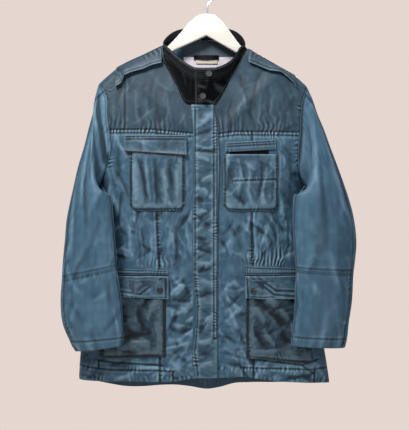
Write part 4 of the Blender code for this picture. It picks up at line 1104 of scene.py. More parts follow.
# ---- sleeves: rings from the armhole to the cuff
sleeves = {
    # outer x, outer z, inner x, inner z, middle y, half depth, how far the inner side stands forward
    "rings": {
        -1: [
            (-266, -262, -262, -488, 3, 40, -4), (-272, -300, -261, -492, -2, 46, 6),
            (-283, -342, -254, -496, -13, 48, 16),
            (-295, -392, -244, -500, -25, 48, 24), (-309, -442, -231, -504, -35, 47, 28),
            (-323, -508, -222, -508, -41, 45, 28),
            (-333, -560, -217, -558, -43, 42, 26), (-337, -612, -213, -608, -46, 39, 24),
            (-341, -660, -209, -646, -49, 36, 23),
            (-343, -706, -209, -674, -52, 33, 22), (-345, -752, -199, -738, -55, 30, 21),
            (-340, -800, -194, -792, -57, 28, 19),
            (-323, -842, -193, -828, -58, 26, 16), (-309, -868, -197, -850, -58, 25, 14),
        ],
        1: [
            (249, -270, 236, -488, 3, 40, -4), (262, -306, 235, -492, -2, 46, 6),
            (278, -344, 228, -496, -11, 49, 16),
            (295, -392, 219, -500, -22, 49, 24), (313, -442, 207, -504, -31, 48, 28),
            (335, -508, 200, -508, -36, 46, 28),
            (348, -560, 197, -558, -38, 43, 27), (353, -612, 198, -608, -40, 40, 26),
            (350, -652, 201, -648, -42, 37, 25),
            (345, -692, 203, -680, -44, 35, 24), (341, -752, 201, -742, -47, 32, 23),
            (333, -802, 198, -794, -49, 30, 21),
            (328, -838, 194, -828, -50, 27, 18), (322, -861, 192, -851, -50, 26, 16),
        ],
    },
    "folds": [  # first ring, last ring, degrees round from the outer edge to the front, half width, height
        (1.5, 6.0, 100, 22, 3.5), (3.0, 8.5, 62, 20, -3.0), (6.5, 12.0, 118, 22, 3.5),
        (8.0, 13.0, 70, 20, 3.0), (2.0, 7.0, 250, 26, 3.5), (7.0, 12.5, 290, 26, -3.0),
    ],
    # the dark fold that the sleeve's front turns in on, as x0, z0, x1, z1, half width, height
    "besideArmhole": {
        -1: [(-259, -262, -249, -360, 5, -4.0), (-250, -340, -240, -430, 6, -4.5),
             (-244, -400, -226, -500, 7, -4.5)],
        1: [(226, -262, 222, -360, 5, -2.5), (222, -340, 216, -430, 5, -2.5)],
    },
    "elbow": 10, "perRing": 13, "sides": 96, "outerSeam": 8, "innerSeam": 44,
    # creases on each sleeve's own flat cloth: x is millimetres round it, z millimetres down it
    "creases": {
        -1: [
            (60, -60, 96, -210, 10, 2.2), (96, -70, 120, -260, 8, -2.0), (30, -120, 64, -330, 10, 2.0),
            (120, -300, 70, -400, 9, -2.0), (50, -330, 110, -410, 9, 2.2), (90, -420, 60, -470, 7, 2.0),
            (20, -500, 70, -530, 8, 2.8), (26, -530, 84, -560, 7, -2.6), (30, -556, 76, -584, 7, 2.6),
            (16, -480, 40, -560, 7, -2.2), (96, -500, 110, -600, 7, 2.0), (120, -480, 134, -580, 6, -1.8),
            (36, -584, 100, -600, 6, -2.0), (210, -100, 240, -300, 10, 2.2), (260, -160, 236, -380, 9, -2.2),
            (200, -360, 270, -420, 8, 2.4), (220, -470, 280, -520, 8, -2.2), (210, -540, 280, -580, 8, 2.2),
        ],
        1: [
            (50, -60, 86, -240, 10, 2.0), (100, -80, 120, -300, 8, -2.0), (34, -180, 50, -380, 9, 1.8),
            (120, -300, 80, -400, 8, 1.8), (60, -440, 50, -600, 8, 2.0), (90, -460, 96, -590, 7, -1.8),
            (120, -440, 110, -560, 7, 1.8), (30, -470, 40, -560, 7, -1.8), (130, -560, 96, -610, 6, 2.0),
            (210, -100, 240, -300, 10, 2.2), (260, -160, 236, -380, 9, -2.2),
            (200, -360, 270, -420, 8, 2.4), (220, -470, 280, -520, 8, -2.2), (210, -540, 280, -580, 8, 2.2),
        ],
    },
}


def armholePoints(side, angles):
    # the panels' own armhole points, as the solids have them
    topZ = float(straightCurve(jacket["shoulder"], 0, 1, armholeX(side, jacket["armhole"][side][0][0])))
    low = jacket["underarm"]
    yokeLow = float(yokeZ(armholeX(side, -347)))
    front = ([topZ + (yokeLow - topZ) * (i/7)**1.35 for i in range(7)]
             + [yokeLow + (low - yokeLow)*i/5 for i in range(6)])
    back = [topZ + (low - topZ) * (i/12)**1.25 for i in range(13)]
    heights = front + back[-2:0:-1] + [topZ]
    at = np.asarray(angles) / (2*math.pi) * (len(heights) - 1)
    z = np.interp(at, np.arange(len(heights)), heights)
    x = armholeX(side, z)
    y = np.where(np.asarray(angles) < math.pi, frontY(x, z), backY(x, z))
    top = np.abs(z - topZ) < 0.5
    y = np.where(top, seamY(z), y)
    return np.stack([x + side*2*jacket["seamGap"], y, z], axis=1)


def sleeveGrid(side):
    angles = np.arange(sleeves["sides"]) * 2*math.pi / sleeves["sides"]
    rings = [armholePoints(side, angles)]
    for outerX, outerZ, innerX, innerZ, midY, halfDepth, forward in sleeves["rings"][side]:
        out, deep = np.cos(angles), np.sin(angles)
        full = np.sign(deep) * np.abs(deep)**0.85
        x = (outerX + innerX)/2 + (outerX - innerX)/2*out
        z = (outerZ + innerZ)/2 + (outerZ - innerZ)/2*out
        rings.append(np.stack([x, midY + forward*out - halfDepth*full, z], axis=1))
    rings = np.array(rings)
    count = len(rings)
    at = np.linspace(0, count - 1, (count - 1)*sleeves["perRing"] + 1)
    slopes = np.gradient(rings, axis=0)
    spot = np.clip(at.astype(int), 0, count - 2)
    t = (at - spot)[:, None, None]
    a, b = rings[spot], rings[spot + 1]
    grid = (a*(2*t**3 - 3*t**2 + 1) + slopes[spot]*(t**3 - 2*t**2 + t)
            + b*(3*t**2 - 2*t**3) + slopes[spot + 1]*(t**3 - t**2))
    degrees = np.degrees(angles)[None, :]
    ring = at[:, None]
    swell = np.zeros((len(at), len(angles)))
    for first, last, place, halfWidth, height in sleeves["folds"]:
        beyond = np.maximum(np.maximum(first - ring, ring - last), 0.0)
        away = np.abs((degrees - place + 180.0) % 360.0 - 180.0)
        swell += height * np.exp(-(away / halfWidth)**2) * np.exp(-beyond**2)
    swell *= np.clip(ring - 1.0, 0.0, 1.0)
    return grid + normalsOf(grid, side, True) * swell[..., None], at


def sleeveRows(around, down):
    whole = float(around[0, -1])
    elbow, cuff = float(down[sleeves["elbow"]*sleeves["perRing"], 0]), float(down[-1, 0])
    outer, inner = (float(around[0, sleeves[k]]) for k in ("outerSeam", "innerSeam"))
    return [(0, -5, whole, -5), (0, elbow + 5, whole, elbow + 5), (0, elbow + 11, whole, elbow + 11),
            (0, cuff + 22, whole, cuff + 22), (outer + 3.5, -6, outer + 3.5, cuff + 3),
            (inner + 3.5, -6, inner + 3.5, cuff + 3)]


def sleeveDetail(side, around, down, at):
    whole = float(around[0, -1])
    total = 0.0
    for shift in (-whole, 0.0, whole):
        total = total + 0.42*creasesAt(sleeves["creases"][side], around + shift, down, 4.0, 51 + side)
    elbow, cuff = float(down[sleeves["elbow"]*sleeves["perRing"], 0]), float(down[-1, 0])
    outer = float(around[0, sleeves["outerSeam"]])
    small = strewn([(0, whole, elbow, -20, 50, 0, 0.35), (0, whole, cuff, elbow, 34, 30, 0.55),
                    (0, 60, cuff, elbow + 60, 20, 60, 0.6)], 303 + side)
    long = strewn([(0, whole, elbow, -20, 22, 0, 1.0), (0, whole, cuff, elbow, 14, 10, 1.0)], 313 + side,
                  (50, 150), (5.0, 9.0))
    armPuckers = [(0, -3, whole, -3, 15, 9.5, 1.3), (0, elbow, whole, elbow, 8, 9.0, 0.6),
                  (outer + 3, -10, outer + 3, elbow, 6, 8.0, 0.5),
                  (outer + 3, elbow, outer + 3, cuff, 9, 9.0, 1.1),
                  (0, cuff + 20, whole, cuff + 20, 11, 11, 0.5)]
    total = (total + 1.1*creasesAt(small, around, down, 2.5, 55) + creasesAt(long, around, down, 3.0, 56)
             + puckersAt(armPuckers, around, down, 57 + side))
    ease = np.clip(at / 0.5, 0.0, 1.0)[:, None]
    seamless = np.clip(np.minimum(around, whole - around) / 12.0, 0.0, 1.0)
    return (total*seamless + 0.16*crumpled(around, down, 19, 82 + side)*seamless) * (0.25 + 0.75*ease)


def makeSleeve(side, word):
    grid, at = sleeveGrid(side)
    girth = np.linalg.norm(np.roll(grid[24], -1, axis=0) - grid[24], axis=1).sum()
    around = np.tile(np.arange(sleeves["sides"]) * girth / (sleeves["sides"] - 1), (len(at), 1))
    middle = grid.mean(axis=1)
    steps = np.concatenate([[0.0], np.cumsum(np.linalg.norm(np.diff(middle, axis=0), axis=1))])
    down = np.tile(-steps[:, None], (1, sleeves["sides"]))
    rows = sleeveRows(around, down)
    height = sleeveDetail(side, around, down, at) + groovesAt(rows, around, down)
    inFront = np.clip(-normalsOf(grid, side, True)[..., 1] * 2.0, 0.0, 1.0)
    height = height + creasesAt(sleeves["besideArmhole"][side], grid[..., 0], grid[..., 2]) * inFront
    height = height * np.clip(at / 0.12, 0.0, 1.0)[:, None]
    normals = normalsOf(grid, side, True)
    normals[0, :, 0] = 0.0
    normals[0] /= np.linalg.norm(normals[0], axis=1, keepdims=True)
    outer = grid + normals * height[..., None]
    inner = grid - normals * (jacket["wall"] - np.minimum(height, 0.0)[..., None])
    relief = reliefOf(height, 3, True, 0.8)
    mark = 0.5*seamMark(rows, around, down)
    flat = np.stack([around, down], axis=2)
    cut, sides = sleeves["elbow"] * sleeves["perRing"], sleeves["sides"]
    for part, node, span in (("arm_", "sleeve_upper_", np.s_[:cut + 1]),
                             ("forearm_", "sleeve_lower_", np.s_[cut:])):
        for half, first, last in (("front_", sleeves["outerSeam"], sleeves["innerSeam"]),
                                  ("back_", sleeves["innerSeam"], sleeves["outerSeam"] + sides)):
            columns = np.arange(first, last + 1) % sides
            pieces = [field[span][:, columns].copy() for field in (outer, inner, relief, mark, flat, grid)]
            outerPart, innerPart, reliefPart, markPart, flatPart, gridPart = pieces
            flatPart[..., 0] = (np.arange(first, last + 1) * girth / (sides - 1))[None, :]
            for cloth in (outerPart, innerPart):
                for edge, beside in ((0, 1), (-1, -2)):
                    inwards = cloth[:, beside] - cloth[:, edge]
                    cloth[:, edge] += (inwards / np.linalg.norm(inwards, axis=1, keepdims=True)
                                       * jacket["seamGap"]/2)
                if part == "forearm_":
                    step = (grid[cut + 1] - grid[cut])[columns]
                    cloth[0] += step / np.linalg.norm(step, axis=1, keepdims=True) * jacket["seamGap"]
            if part == "forearm_":
                outerPart[-1] -= normals[-1][columns]
            # the elbow seam and both long seams are darkened: painted shade along the seams
            markPart[0 if part == "forearm_" else -1] = 0.5
            markPart[:, 0] = markPart[:, -1] = 0.8
            name = part + half + word
            made = clothWall(name, outerPart, innerPart, finishes["sleeve cloth"], reliefPart, flatPart,
                             edges=markPart)
            area = areaOf(gridPart)
            length = float(abs(flatPart[-1, 0, 1] - flatPart[0, 0, 1])) * mm
            sheets[name] = (made, [node + half + word], (area / length * 1.12, length), area)
            runs = []
            for x0, z0, x1, z1 in rows:
                count = max(int(math.hypot(x1 - x0, z1 - z0) / 4.0), 2)
                share = np.linspace(0.0, 1.0, count)
                rowAt = np.interp(-(z0 + (z1 - z0)*share), steps, np.arange(len(steps)))
                columnAt = (x0 + (x1 - x0)*share) / girth * (sides - 1)
                inHalf = ((columnAt - first) % sides) < (last - first)
                inPart = (rowAt < cut - 0.3) if part == "arm_" else (rowAt > cut + 0.3)
                keep = inHalf & inPart
                for stretch in np.split(np.arange(count), np.flatnonzero(np.diff(keep.astype(int))) + 1):
                    if keep[stretch[0]] and len(stretch) > 1:
                        runs.append(runOnGrid(outer, normals, rowAt[stretch], columnAt[stretch], True))
            if runs:
                sewOn(name, runs)


for side, word in ((-1, "right"), (1, "left")):
    makeSleeve(side, word)
print("sleeves made")

# ---- collar: a tall stand whose wearer's left end laps over the right one
collar = {
    "middle": -6.5, "half": 97.0, "front": 58.0, "back": 50.0, "wall": 2.4, "waist": 3.0, "rows": 46,
    "perSpan": 9, "rowsDown": (8.5, 24.0), "rowIn": 4.0, "rowUp": 6.0,  # stitches from rim, lap and neck
    "rim": [  # degrees from the front, height on the wearer's right, on the left
        (0, -208, -208), (15, -206, -207), (30, -191, -197), (45, -173, -181), (60, -157, -156),
        (75, -146, -146),
        (90, -136, -136), (112, -118, -118), (135, -102, -102), (157, -94, -94), (180, -92, -92),
    ],
    "lap": [(0, 0, -0.4), (0, 1, -0.2), (0, 2, 0.0), (0, 19, 0.0), (0, 20, 2.0), (0, 21, 3.7), (0, 22, 4.1),
            (0, 23, 4.1)],
    "creases": [  # back from the lapping end, and down the collar
        (4, -58, 52, -76, 4, -2.0), (6, -70, 60, -88, 5, 2.2), (14, -86, 66, -100, 4, -1.8),
        (40, -30, 92, -84, 6, 1.8),
        (70, -26, 110, -92, 6, -1.8), (110, -30, 140, -100, 7, 1.6), (2, -40, 30, -50, 4, 1.4),
        (386, -30, 400, -90, 6, -1.4), (420, -40, 386, -100, 6, 1.6), (470, -36, 440, -90, 6, 1.4),
    ],
}


def rimPoint(angle, side):
    turn = math.radians(angle)
    reach = collar["front"] if angle < 90 else collar["back"]
    z = float(smoothCurve(collar["rim"], 0, 1 if side < 0 else 2, angle))
    return (collar["middle"] + side*collar["half"]*math.sin(turn), -reach*math.cos(turn), z)


def neckBase(points, surface, side):
    over = np.minimum(1.0, np.abs(points[:, 0] - jacket["centre"]) / 20.0) * side * 1.2
    return np.stack([points[:, 0] + over, surface(points[:, 0], points[:, 1]), points[:, 1] - 1.0], axis=1)


def collarColumns():
    neck = {side: neckBase(np.array(jacket["neck"][side], float), frontY, side) for side in (-1, 1)}
    nape = {side: neckBase(np.array(jacket["backNeck"][side], float), backY, side) for side in (-1, 1)}
    fronts = [(90, 0), (75, 1), (60, 2), (45, 3), (30, 4), (14, 5), (0, 6)]
    backs = [(112, 1), (135, 2), (157, 3), (180, 4)]
    columns = [(rimPoint(14, 1), neck[1][5])]
    columns += [(rimPoint(a, -1), neck[-1][n]) for a, n in reversed(fronts)]
    columns += [(rimPoint(a, -1), nape[-1][n]) for a, n in backs]
    columns += [(rimPoint(a, 1), nape[1][n]) for a, n in reversed(backs[:-1])]
    columns += [(rimPoint(a, 1), neck[1][n]) for a, n in fronts]
    columns += [(rimPoint(14, -1), neck[-1][5])]
    return np.array([[rim, base] for rim, base in columns], float)


def smoothRows(points, perSpan):
    count = len(points)
    at = np.linspace(0, count - 1, (count - 1)*perSpan + 1)
    slopes = np.gradient(points, axis=0)
    spot = np.clip(at.astype(int), 0, count - 2)
    t = (at - spot).reshape(-1, *([1]*(points.ndim - 1)))
    return (points[spot]*(2*t**3 - 3*t**2 + 1) + slopes[spot]*(t**3 - 2*t**2 + t)
            + points[spot + 1]*(3*t**2 - 2*t**3) + slopes[spot + 1]*(t**3 - t**2)), at


def makeCollar():
    ends, at = smoothRows(collarColumns(), collar["perSpan"])
    rows = collar["rows"]
    fall = np.linspace(0.0, 1.0, rows)[:, None, None]
    grid = ends[None, :, 0]*(1 - fall) + ends[None, :, 1]*fall
    normals = normalsOf(grid, 1)
    lap = smoothCurve(collar["lap"], 1, 2, at)
    shift = lap[None, :] - np.sin(np.linspace(0, math.pi, rows))[:, None]*collar["waist"]
    along = np.concatenate([[0.0], np.cumsum(np.linalg.norm(np.diff(grid[rows//2], axis=0), axis=1))])
    tall = np.linalg.norm(ends[:, 0] - ends[:, 1], axis=1)
    s = np.tile(along, (rows, 1))
    d = -fall[..., 0] * tall[None, :]
    toBase = tall[None, :] + d
    whole = float(along[-1])
    sewnRows = [(0, -down, whole, -down) for down in collar["rowsDown"]]
    sewnRows += [(whole - collar["rowIn"], -8, whole - collar["rowIn"], -140)]
    band = np.clip((25.5 + d) / 2.5, 0.0, 1.0)
    detail = creasesAt(collar["creases"], whole - s, d, 3.0, 91)
    detail += creasesAt(strewn([(0, whole, -130, -26, 90, 50, 0.55)], 304), s, d, 2.0, 92)
    detail += puckersAt([(0, -6, whole, -6, 7, 8.0, 0.3), (0, -30, whole, -30, 9, 9.0, 0.35)], s, d, 93)
    detail += 1.3*np.exp(-((d + 3.4) / 3.2)**4) + 0.9*band*band*(3 - 2*band)
    detail += groovesAt(sewnRows, s, d, 0.6, 1.3) - 0.5*np.exp(-((toBase - collar["rowUp"]) / 1.4)**2)
    edge = np.minimum(1.0, (rows - 1 - np.arange(rows)) / 4.0)[:, None]
    outer = grid + normals * (shift + collar["wall"] + detail*edge)[..., None]
    inner = grid + normals * shift[..., None]
    outer = roundedEdge(outer, normals, ("top", "first", "last"), 1.0)
    mark = np.minimum(seamMark(sewnRows, s, d), 0.0)
    mark[:, -2:] = -0.7
    # a lighter band along the rim's roll: painted highlight
    mark = mark - 0.55*np.exp(-((d + 3.0) / 2.6)**2)
    made = clothWall("stand_collar", outer, inner, finishes["collar cloth"], reliefOf(detail, 3, gain=0.7),
                     np.stack([s, d], axis=2), edges=mark)
    sheets["stand_collar"] = (made, ["collar"], (0.56, 0.15), areaOf(grid))
    columns = np.arange(len(at))
    runs = []
    for down in collar["rowsDown"]:
        runs.append(runOnGrid(outer, normals, down / tall * (rows - 1), columns))
    runs.append(runOnGrid(outer, normals, (rows - 1)*(1 - collar["rowUp"] / tall), columns))
    lastColumn = np.interp(whole - collar["rowIn"], along, columns)
    runs.append(runOnGrid(outer, normals, np.linspace(3, rows - 4, 40), np.full(40, lastColumn)))
    sewOn("stand_collar", runs, "pale thread")


makeCollar()
print("collar made")


# ---- what is sewn on: points of the panel under it, moved out
def both(value):
    return value if isinstance(value, tuple) else (value, value)


def boxGrid(right, left, top, low, columns, rows):
    part = np.linspace(0.0, 1.0, columns)[None, :]
    fall = np.linspace(0.0, 1.0, rows)[:, None]
    right, left, top, low = both(right), both(left), both(top), both(low)
    x = (right[0] + (right[1] - right[0])*fall)*(1 - part) + (left[0] + (left[1] - left[0])*fall)*part
    z = (top[0] + (top[1] - top[0])*part)*(1 - fall) + (low[0] + (low[1] - low[0])*part)*fall
    return x, z


def cutCorners(x, z, cut):
    middle, half = (x.min() + x.max())/2, (x.max() - x.min())/2
    near = np.clip(1 - (z - z.min())/cut, 0, 1)
    limit = half - cut*near*0.9
    return middle + np.clip(x - middle, -limit, limit), z


# a pocket stands a little fuller away from its edges
def pillowed(x, z, right, left, top, low, reach, height):
    inside = np.minimum(np.minimum(x - right, left - x), np.minimum(top - z, z - low))
    part = np.clip(inside / reach, 0.0, 1.0)
    return height * part*part*(3 - 2*part)


def patch(name, x, z, lift, thick, detail, rows=(), cloth="pocket cloth", floor=-0.35,
          soft=("top", "low", "first", "last"), shade=None):
    def rise(px, pz):
        return np.maximum(detail(px, pz) + groovesAt(rows, px, pz), floor)
    base = np.stack([x, frontY(x, z), z], axis=2)
    normals = normalsOf(base, -1)
    height = rise(x, z)
    inner = base + normals * (lift + 0.55*height)[..., None]
    outer = base + normals * (lift + thick + height)[..., None]
    outer = roundedEdge(outer, normals, soft, min(1.0, thick*0.5))
    mark = seamMark(rows, x, z)
    for side in soft:
        cut = {"top": np.s_[:2, :], "low": np.s_[-2:, :], "first": np.s_[:, :2], "last": np.s_[:, -2:]}[side]
        mark[cut] = -0.55
    if shade is not None:
        mark = np.where(mark < 0, mark, np.maximum(mark, shade(x, z)))
    made = clothWall(name, outer, inner, finishes[cloth], reliefOf(height, 3, gain=0.8),
                     np.stack([x, z], axis=2),
                     edges=mark)
    runs = [runOnCloth(part, frontY, -1, lambda px, pz: lift + thick + rise(px, pz)) for row in rows
            for part in clipped(row, x.min() + 1, x.max() - 1, z.min() + 1, z.max() - 1)]
    if runs:
        sewOn(name, runs)
    return made, areaOf(base)

placket = {
    "edges": [  # z, right x, left x
        (-291, -40, 15), (-352, -34, 24), (-590, -34, 24), (-700, -32, 24), (-765, -26, 24),
        (-842, -31, 24), (-872, -35, 24), (-905, -33, 24), (-931, -26, 24),
    ],
    "top": -292.0, "low": -932.0, "thick": 2.2,
}

placketRows = [(15, -300, 15, -838), (22, -300, 22, -838), (14, -838, 23, -838), (14, -840, 23, -840),
               (-29, -300, -29, -700), (-29, -700, -22, -762), (-22, -762, -27, -842), (-27, -842, -30, -872),
               (-30, -872, -22, -929)]
placketStrewn = strewn([(-30, 20, -930, -300, 120, 78, 0.75), (-34, -20, -930, -300, 60, 88, 0.6),
                        (-30, 16, -680, -560, 20, 60, 1.0)], 305)


def placketDetail(x, z):
    right = smoothCurve(placket["edges"], 0, 1, z)
    left = smoothCurve(placket["edges"], 0, 2, z)
    rows = [(-33, -300, -33, -700, 9, 7.0, 1.5), (-28, -700, -30, -932, 9, 7.5, 1.5),
            (19, -300, 19, -840, 8, 7.0, 1.2)]
    total = (0.85*creasesAt(placketCreases, x, z, 3.0, 101, 1.25)
             + 0.75*creasesAt(placketStrewn, x, z, 1.5, 102))
    total = total + puckersAt(rows, x, z, 103) + 1.8
    rim = np.minimum(x - right, left - x)
    return total * np.clip(0.35 + rim / 7.0, 0.0, 1.0)


def makePlacket():
    zRow = np.linspace(placket["top"], placket["low"], 330)
    part = np.linspace(0.0, 1.0, 33)
    right = smoothCurve(placket["edges"], 0, 1, zRow)[:, None]
    left = smoothCurve(placket["edges"], 0, 2, zRow)[:, None]
    x = right*(1 - part) + left*part
    z = np.repeat(zRow[:, None], len(part), axis=1)
    made, area = patch("fly_placket", x, z, jacket["lift"], placket["thick"], placketDetail, placketRows)
    sheets["fly_placket"] = (made, ["placket"], (0.060, 0.645), area)


chest = {
    -1: {"pocket": (-182, -53, -366, -540), "flap": (-194, -49, -363, (-399, -409))},
    1: {"pocket": (37, 166, -408, -541), "welt": (42, 160, (-381, -374), (-403, -397))},
}


def frameOf(right, left, top, low, inset, reach, pitch, height):
    return [(right + inset, top, right + inset, low + 14, reach, pitch, height),
            (left - inset, top, left - inset, low + 14, reach, pitch, height),
            (right + 14, low + inset, left - 14, low + inset, reach, pitch, height)]


def frameRows(right, left, top, low, inset):
    return [(right + inset, top, right + inset, low + 14), (right + inset, low + 14, right + 14, low + inset),
            (right + 14, low + inset, left - 14, low + inset),
            (left - 14, low + inset, left - inset, low + 14),
            (left - inset, low + 14, left - inset, top)]


# a narrow roll laid along a run of points, such as a turned edge
def edgeRoll(name, points, radius, finish):
    points = np.array(points, float)
    along = np.gradient(points, axis=0)
    along /= np.linalg.norm(along, axis=1, keepdims=True)
    up = np.cross(along, np.array([0.0, 1.0, 0.0]))
    up /= np.linalg.norm(up, axis=1, keepdims=True)
    out = np.cross(up, along)
    sides = 8
    rings = [points + radius*(up*math.cos(2*math.pi*k/sides) + out*math.sin(2*math.pi*k/sides))
             for k in range(sides)]
    block = np.stack(rings, axis=1)
    count = len(points)
    faces = (facesOf(count, sides, True).tolist()
             + [list(range(sides)), [(count - 1)*sides + k for k in range(sides)][::-1]])
    mesh = bpy.data.meshes.new(name)
    mesh.from_pydata((block.reshape(-1, 3) * mm).tolist(), [], faces)
    mesh.materials.append(finishes[finish])
    mesh.shade_smooth()
    made = bpy.data.objects.new(name, mesh)
    bpy.context.scene.collection.objects.link(made)
    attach(made, "root")
    return made


def makeChest():
    right, left, top, low = chest[-1]["pocket"]
    small = strewn([(right, left, low, top, 44, 5, 0.7)], 306)

    def pocketDetail(x, z):
        return (0.8*creasesAt(chestCreases[-1], x, z, 3.0, 111, 1.25) + 0.75*creasesAt(small, x, z, 2.0, 112)
                + puckersAt(frameOf(right, left, top, low, 2, 6, 7.6, 0.85), x, z, 113)
                + pillowed(x, z, right, left, top + 40, low, 14, 2.4) + 0.25*crumpled(x, z, 15, 114))
    x, z = cutCorners(*boxGrid(right, left, top, low, 66, 86), 15.0)
    made, area = patch("pocket_chest_right", x, z, jacket["lift"], jacket["patch"], pocketDetail,
                       frameRows(right, left, top, low, 3.2))
    sheets["pocket_chest_right"] = (made, ["chest_pocket_right"], (0.131, 0.176), area)

    def flapDetail(x, z):
        fall = np.clip((-363 - z) / 40, 0, 1.2)
        return (puckersAt([(-194, -368, -49, -368, 9, 9, 0.45), (-194, -402, -49, -408, 8, 12, 0.4)],
                          x, z, 117)
                + creasesAt([(-150, -366, -146, -404, 9, 0.9), (-100, -366, -96, -404, 8, -0.8),
                             (-182, -372, -120, -396, 7, 0.7)], x, z)
                + 3.2*fall**2 + 0.8*softNoise(x, z, 30, 118)*fall + 0.3*crumpled(x, z, 12, 119))
    rows = [(-192, -366.5, -51, -366.5), (-192, -373, -51, -373)]
    x, z = boxGrid(*chest[-1]["flap"], 72, 24)
    lift = 2*jacket["lift"] + jacket["patch"]
    made, area = patch("flap_chest_right", x, z, lift, 2.0, flapDetail, rows)
    sheets["flap_chest_right"] = (made, ["chest_flap_right"], (0.147, 0.044), area)
    grid = np.array([tuple(made.data.vertices[i].co) for i in range(23*72, 24*72)]) / mm
    threads["flap_chest_right"].append(edgeRoll("turned_edge_flap", grid + np.array([0.0, 0.4, -0.4]), 1.15,
                                                "turned edge"))

    right, left, top, low = chest[1]["pocket"]
    less = strewn([(right, left, low, top, 40, 10, 0.75)], 307)

    def innerDetail(x, z):
        return (0.8*creasesAt(chestCreases[1], x, z, 3.0, 121, 1.25) + 0.8*creasesAt(less, x, z, 2.0, 122)
                + puckersAt(frameOf(right, left, top, low, 2, 6, 7.6, 0.85)
                            + [(60, -468, 166, -466, 6, 8, 0.8)], x, z, 123)
                + pillowed(x, z, right, left, top + 40, low, 14, 2.0) + 0.25*crumpled(x, z, 15, 124))
    x, z = cutCorners(*boxGrid(right, left, top, low, 66, 68), 15.0)
    made, area = patch("pocket_chest_left", x, z, jacket["lift"], jacket["patch"], innerDetail,
                       frameRows(right, left, top, low, 3.2) + [(60, -470, 162, -466)])
    sheets["pocket_chest_left"] = (made, ["chest_pocket_left"], (0.131, 0.135), area)

    def weltDetail(x, z):
        return puckersAt([(42, -384, 160, -378, 8, 8, 0.5), (42, -400, 160, -394, 8, 9, 0.5)],
                         x, z, 127) + 0.4
    x, z = boxGrid(42, 160, (-381, -374), (-403, -397), 60, 16)
    made, area = patch("welt_chest_left", x, z, jacket["lift"], 2.2, weltDetail,
                       [(44, -384, 158, -377.5), (44, -390, 158, -383.5)])
    sheets["welt_chest_left"] = (made, ["chest_welt_left"], (0.120, 0.024), area)
    # painted shadow under the welt's lower edge
    x, z = boxGrid(52, 143, (-402.5, -398), (-407.4, -407.4), 40, 4)
    weltShadow = shadowStrip("shadow_strip_welt", x, z, 0.25, 0.6)
    threads["welt_chest_left"].append(weltShadow)


# a thin near-black strip laid on the cloth under a welt: painted shadow in the mouth of a pocket
def shadowStrip(name, x, z, lift, thick):
    base = np.stack([x, frontY(x, z), z], axis=2)
    normals = normalsOf(base, -1)
    made = clothWall(name, base + normals*(lift + thick), base + normals*lift, finishes["collar cloth"],
                     np.zeros(x.shape), np.stack([x, z], axis=2))
    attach(made, "root")
    return made

lower = {
    -1: {"pocket": ((-248, -256), -98, -700, (-886, -882)), "flap": (-250, -91, -693, (-740, -746)),
         "casing": (-252, -92, (-674, -680), (-690, -691)),
         "lines": [(-247, -725, -158, -734), (-247, -735, -158, -743), (-158, -734, -106, -697),
                   (-158, -743, -96, -743), (-97, -700, -97, -740)]},
    1: {"pocket": (91, (222, 250), -700, (-884, -900)), "flap": (88, 224, -693, (-744, -748)),
        "casing": (86, 226, (-669, -676), (-690, -691)),
        "lines": [(102, -693, 155, -736), (155, -736, 222, -743), (116, -694, 160, -727),
                  (160, -727, 222, -731),
                  (94, -698, 94, -742), (92, -742, 155, -742)]},
}


def makeLower(side, word):
    parts = lower[side]
    right, left, top, low = (both(v)[0] for v in parts["pocket"])
    right, left = min(right, left), max(right, left)
    small = strewn([(right, left, low, top - 40, 90, 60*side, 1.0)], 308 + side)
    wide = (right, max(both(parts["pocket"][1])), top, min(both(parts["pocket"][3])))

    def pocketDetail(x, z):
        return (1.15*creasesAt(pocketCreases[side], x, z, 4.0, 131 + side, 1.25)
                + 0.55*creasesAt(small, x, z, 2.0, 132)
                + puckersAt(frameOf(right, left, top, low, 2, 6, 8.0, 0.9), x, z, 133)
                + pillowed(x, z, wide[0], wide[1], top + 40, wide[3], 16, 3.8) + 0.25*crumpled(x, z, 15, 134))
    x, z = boxGrid(*parts["pocket"], 78, 92)
    # painted shadow under the flap: darker towards the pocket's top and down its middle, broken up by noise
    def shadowUnderFlap(px, pz):
        deep = (np.clip((pz + 800) / 55.0, 0.0, 1.0)
                + 0.5*np.clip(1 - np.abs(px - sum(wide[:2])/2 + 30*side) / 60.0, 0, 1))
        return 0.45*deep*np.clip(0.7 + 0.8*softNoise(px, pz, 24, 135), 0.0, 1.2)
    lowRow = both(parts["pocket"][3])
    ends = [both(parts["pocket"][0])[0], both(parts["pocket"][1])[0]]
    inset = 3.2
    upright = ends[1] - inset if side < 0 else ends[0] + inset
    rows = [(upright, top, upright, lowRow[0] + 4), (ends[0], lowRow[0] + 3.5, wide[1], lowRow[1] + 3.5)]
    made, area = patch("pocket_lower_" + word, x, z, jacket["lift"], 2.0, pocketDetail, rows, "shaded low cloth",
                       shade=shadowUnderFlap)
    sheets["pocket_lower_" + word] = (made, ["lower_pocket_" + word], (0.160, 0.190), area)

    def flapDetail(x, z):
        fall = np.clip((-693 - z) / 50, 0, 1.2)
        return (puckersAt([(-260, -742, 260, -746, 7, 10, 0.45)], x, z, 137) + 2.8*fall**2
                + 0.9*softNoise(x, z, 26, 138)*fall + 0.35*crumpled(x, z, 13, 139))
    x, z = boxGrid(*parts["flap"], 78, 30)
    made, area = patch("flap_lower_" + word, x, z, 2*jacket["lift"] + 2.2, 2.0, flapDetail, parts["lines"])
    sheets["flap_lower_" + word] = (made, ["lower_flap_" + word], (0.162, 0.055), area)

    def casingDetail(x, z):
        return puckersAt([(-260, -682, 240, -682, 12, 7.0, 0.95)], x, z, 141) + 0.5
    rows = ([(-250, -676, -93, -682), (-250, -687.5, -93, -688)] if side < 0 else
            [(88, -672, 225, -679), (88, -687.5, 225, -687.5)])
    x, z = boxGrid(*parts["casing"], 80, 12)
    made, area = patch("casing_waist_" + word, x, z, jacket["lift"], jacket["patch"], casingDetail, rows)
    sheets["casing_waist_" + word] = (made, ["waist_casing_" + word], (0.162, 0.017), area)


